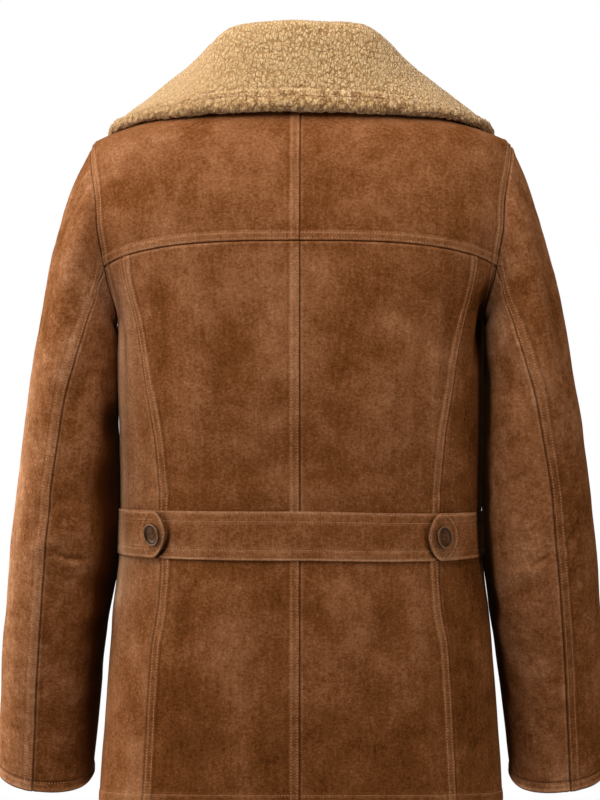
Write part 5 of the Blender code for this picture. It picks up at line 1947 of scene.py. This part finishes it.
def make_collar():
    """The whole band from front end to front end, closed at its ends, with its curls."""
    guide = np.linspace(0.0, COLLAR_END, 600)
    run = lengths(collar_line(guide, np.full_like(guide, 1.8)))
    stations = np.interp(np.linspace(0.0, run[-1], COLLAR_STEPS), run, guide)
    points, roll, seam = collar_section(stations)
    points = np.concatenate([points[:0:-1], points * np.array([-1.0, 1.0, 1.0])])
    roll = np.concatenate([roll[:0:-1], roll])
    seam = np.concatenate([seam[:0:-1], seam])
    sway = sum(soft_noise(points, size, shift) * height for size, shift, height in COLLAR_SWAY)
    rows, columns = points.shape[:2]
    points = points + np.array([0.0, 0.0, 1.0]) * sway[..., None]
    low = np.arange((rows - 1) * columns)
    after = low - low % columns + (low + 1) % columns
    faces = np.stack([low, after, after + columns, low + columns], axis=1).tolist()
    flat = points.reshape(-1, 3)
    ends = []
    for row, turned in ((0, True), (rows - 1, False)):
        middle = len(flat) + len(ends)
        ends.append(points[row].mean(axis=0))
        for i in range(columns):
            pair = (row * columns + i, row * columns + (i + 1) % columns)
            faces.append([middle, *(pair[::-1] if turned else pair)])
    flat = np.concatenate([flat, np.array(ends)])
    band = add_mesh("collar_band", flat, faces, FLEECE, {
        "roll": np.append(roll.ravel(), [1.0, 1.0]), "seam": np.append(seam.ravel(), [0.0, 0.0]),
        "calm": FLAT_LIT * ease(*FLAT_LIT_ZONE, flat[:, 0])})
    piece = from_nodes("collar_fleece", band, fleece_tree())
    declare(piece, "collar", CUTS["collar"])


# ---- studio ----
CAMERA_DISTANCE = 4.0
CAMERA_HEIGHT = -0.331
CAMERA_ASIDE = 0.0011
CAMERA_YAW = 0.8             # degrees round towards the wearer's right
VIEW_HEIGHT = 0.880          # of what the picture takes in at the jacket's middle
SENSOR = 36.0
FLOOR_LEVEL = -1.15
FLOOR_RADIUS = 2.6

Lamp = namedtuple("Lamp", "name place aim size power")
LAMPS = [
    Lamp("above_back", (0.1, 0.9, 0.9), (0.0, 0.0, -0.20), 1.0, 17.5),
    Lamp("left_back", (0.9, 0.8, 0.7), (0.0, 0.0, -0.20), 0.8, 9.5),
    Lamp("left_side", (2.0, 0.25, 0.0), (0.0, 0.0, -0.35), 1.0, 13.0),
    Lamp("left_rim", (1.8, -0.5, -0.1), (0.0, 0.0, -0.40), 1.0, 26.0),
    Lamp("right_low", (-2.0, 1.0, -0.4), (0.0, 0.0, -0.40), 1.4, 8.5),
    Lamp("right_back", (-1.2, 0.9, 0.8), (-0.15, 0.0, -0.10), 0.8, 4.0),
    Lamp("above", (-0.4, 0.2, 1.8), (0.0, 0.0, -0.20), 1.4, 8.0),
    Lamp("front", (-0.6, -3.0, 1.0), (0.0, 0.0, -0.35), 2.2, 46.0),
]
SKY_LIGHT = 0.03


def aimed(thing, place, aim):
    """Put a lamp or the camera at a place, looking at another."""
    thing.location = place
    thing.rotation_euler = (Vector(aim) - Vector(place)).to_track_quat("-Z", "Y").to_euler()


def make_studio():
    """The camera, the lamps, a white surround and the floor far below."""
    scene = bpy.context.scene
    yaw = math.radians(CAMERA_YAW)
    data = bpy.data.cameras.new("camera")
    data.sensor_width = SENSOR
    data.lens = SENSOR * CAMERA_DISTANCE / VIEW_HEIGHT
    camera = placed("camera", data)
    place = (CAMERA_ASIDE - CAMERA_DISTANCE * math.sin(yaw), CAMERA_DISTANCE * math.cos(yaw), CAMERA_HEIGHT)
    aimed(camera, place, (CAMERA_ASIDE, 0.0, CAMERA_HEIGHT))
    scene.camera = camera
    for lamp in LAMPS:
        light = bpy.data.lights.new(lamp.name, "AREA")
        light.size, light.energy = lamp.size, lamp.power
        aimed(placed(lamp.name, light), lamp.place, lamp.aim)
    world = bpy.data.worlds.new("studio")
    scene.world = world
    world.use_nodes = True
    nodes = Nodes(world.node_tree)
    seen = nodes.make("ShaderNodeLightPath").outputs["Is Camera Ray"]
    white = world.node_tree.nodes["Background"]
    white.inputs["Color"].default_value = (1.0, 1.0, 1.0, 1.0)
    nodes.feed(white.inputs["Strength"], Number(nodes, seen) * (1.0 - SKY_LIGHT) + SKY_LIGHT)
    scene.view_settings.view_transform = "Standard"
    floor_mesh = bmesh.new()
    bmesh.ops.create_circle(floor_mesh, cap_ends=True, segments=96, radius=FLOOR_RADIUS,
                            matrix=Matrix.Translation((0.0, 0.0, FLOOR_LEVEL)))
    floor = placed("floor", finished(floor_mesh, "floor"))
    floor.data.materials.append(floor_material())


def main():
    """Everything in the scene: the pieces side by side, then what runs across them."""
    for hand in SIDES:
        creases = crease_lines(hand)
        make_backs(hand, creases)
        make_front(hand, creases)
        make_sleeve(hand, creases)
        make_tab(hand)
    make_belt()
    make_stitches(stitch_tree())
    make_buttons()
    make_collar()
    make_studio()


main()
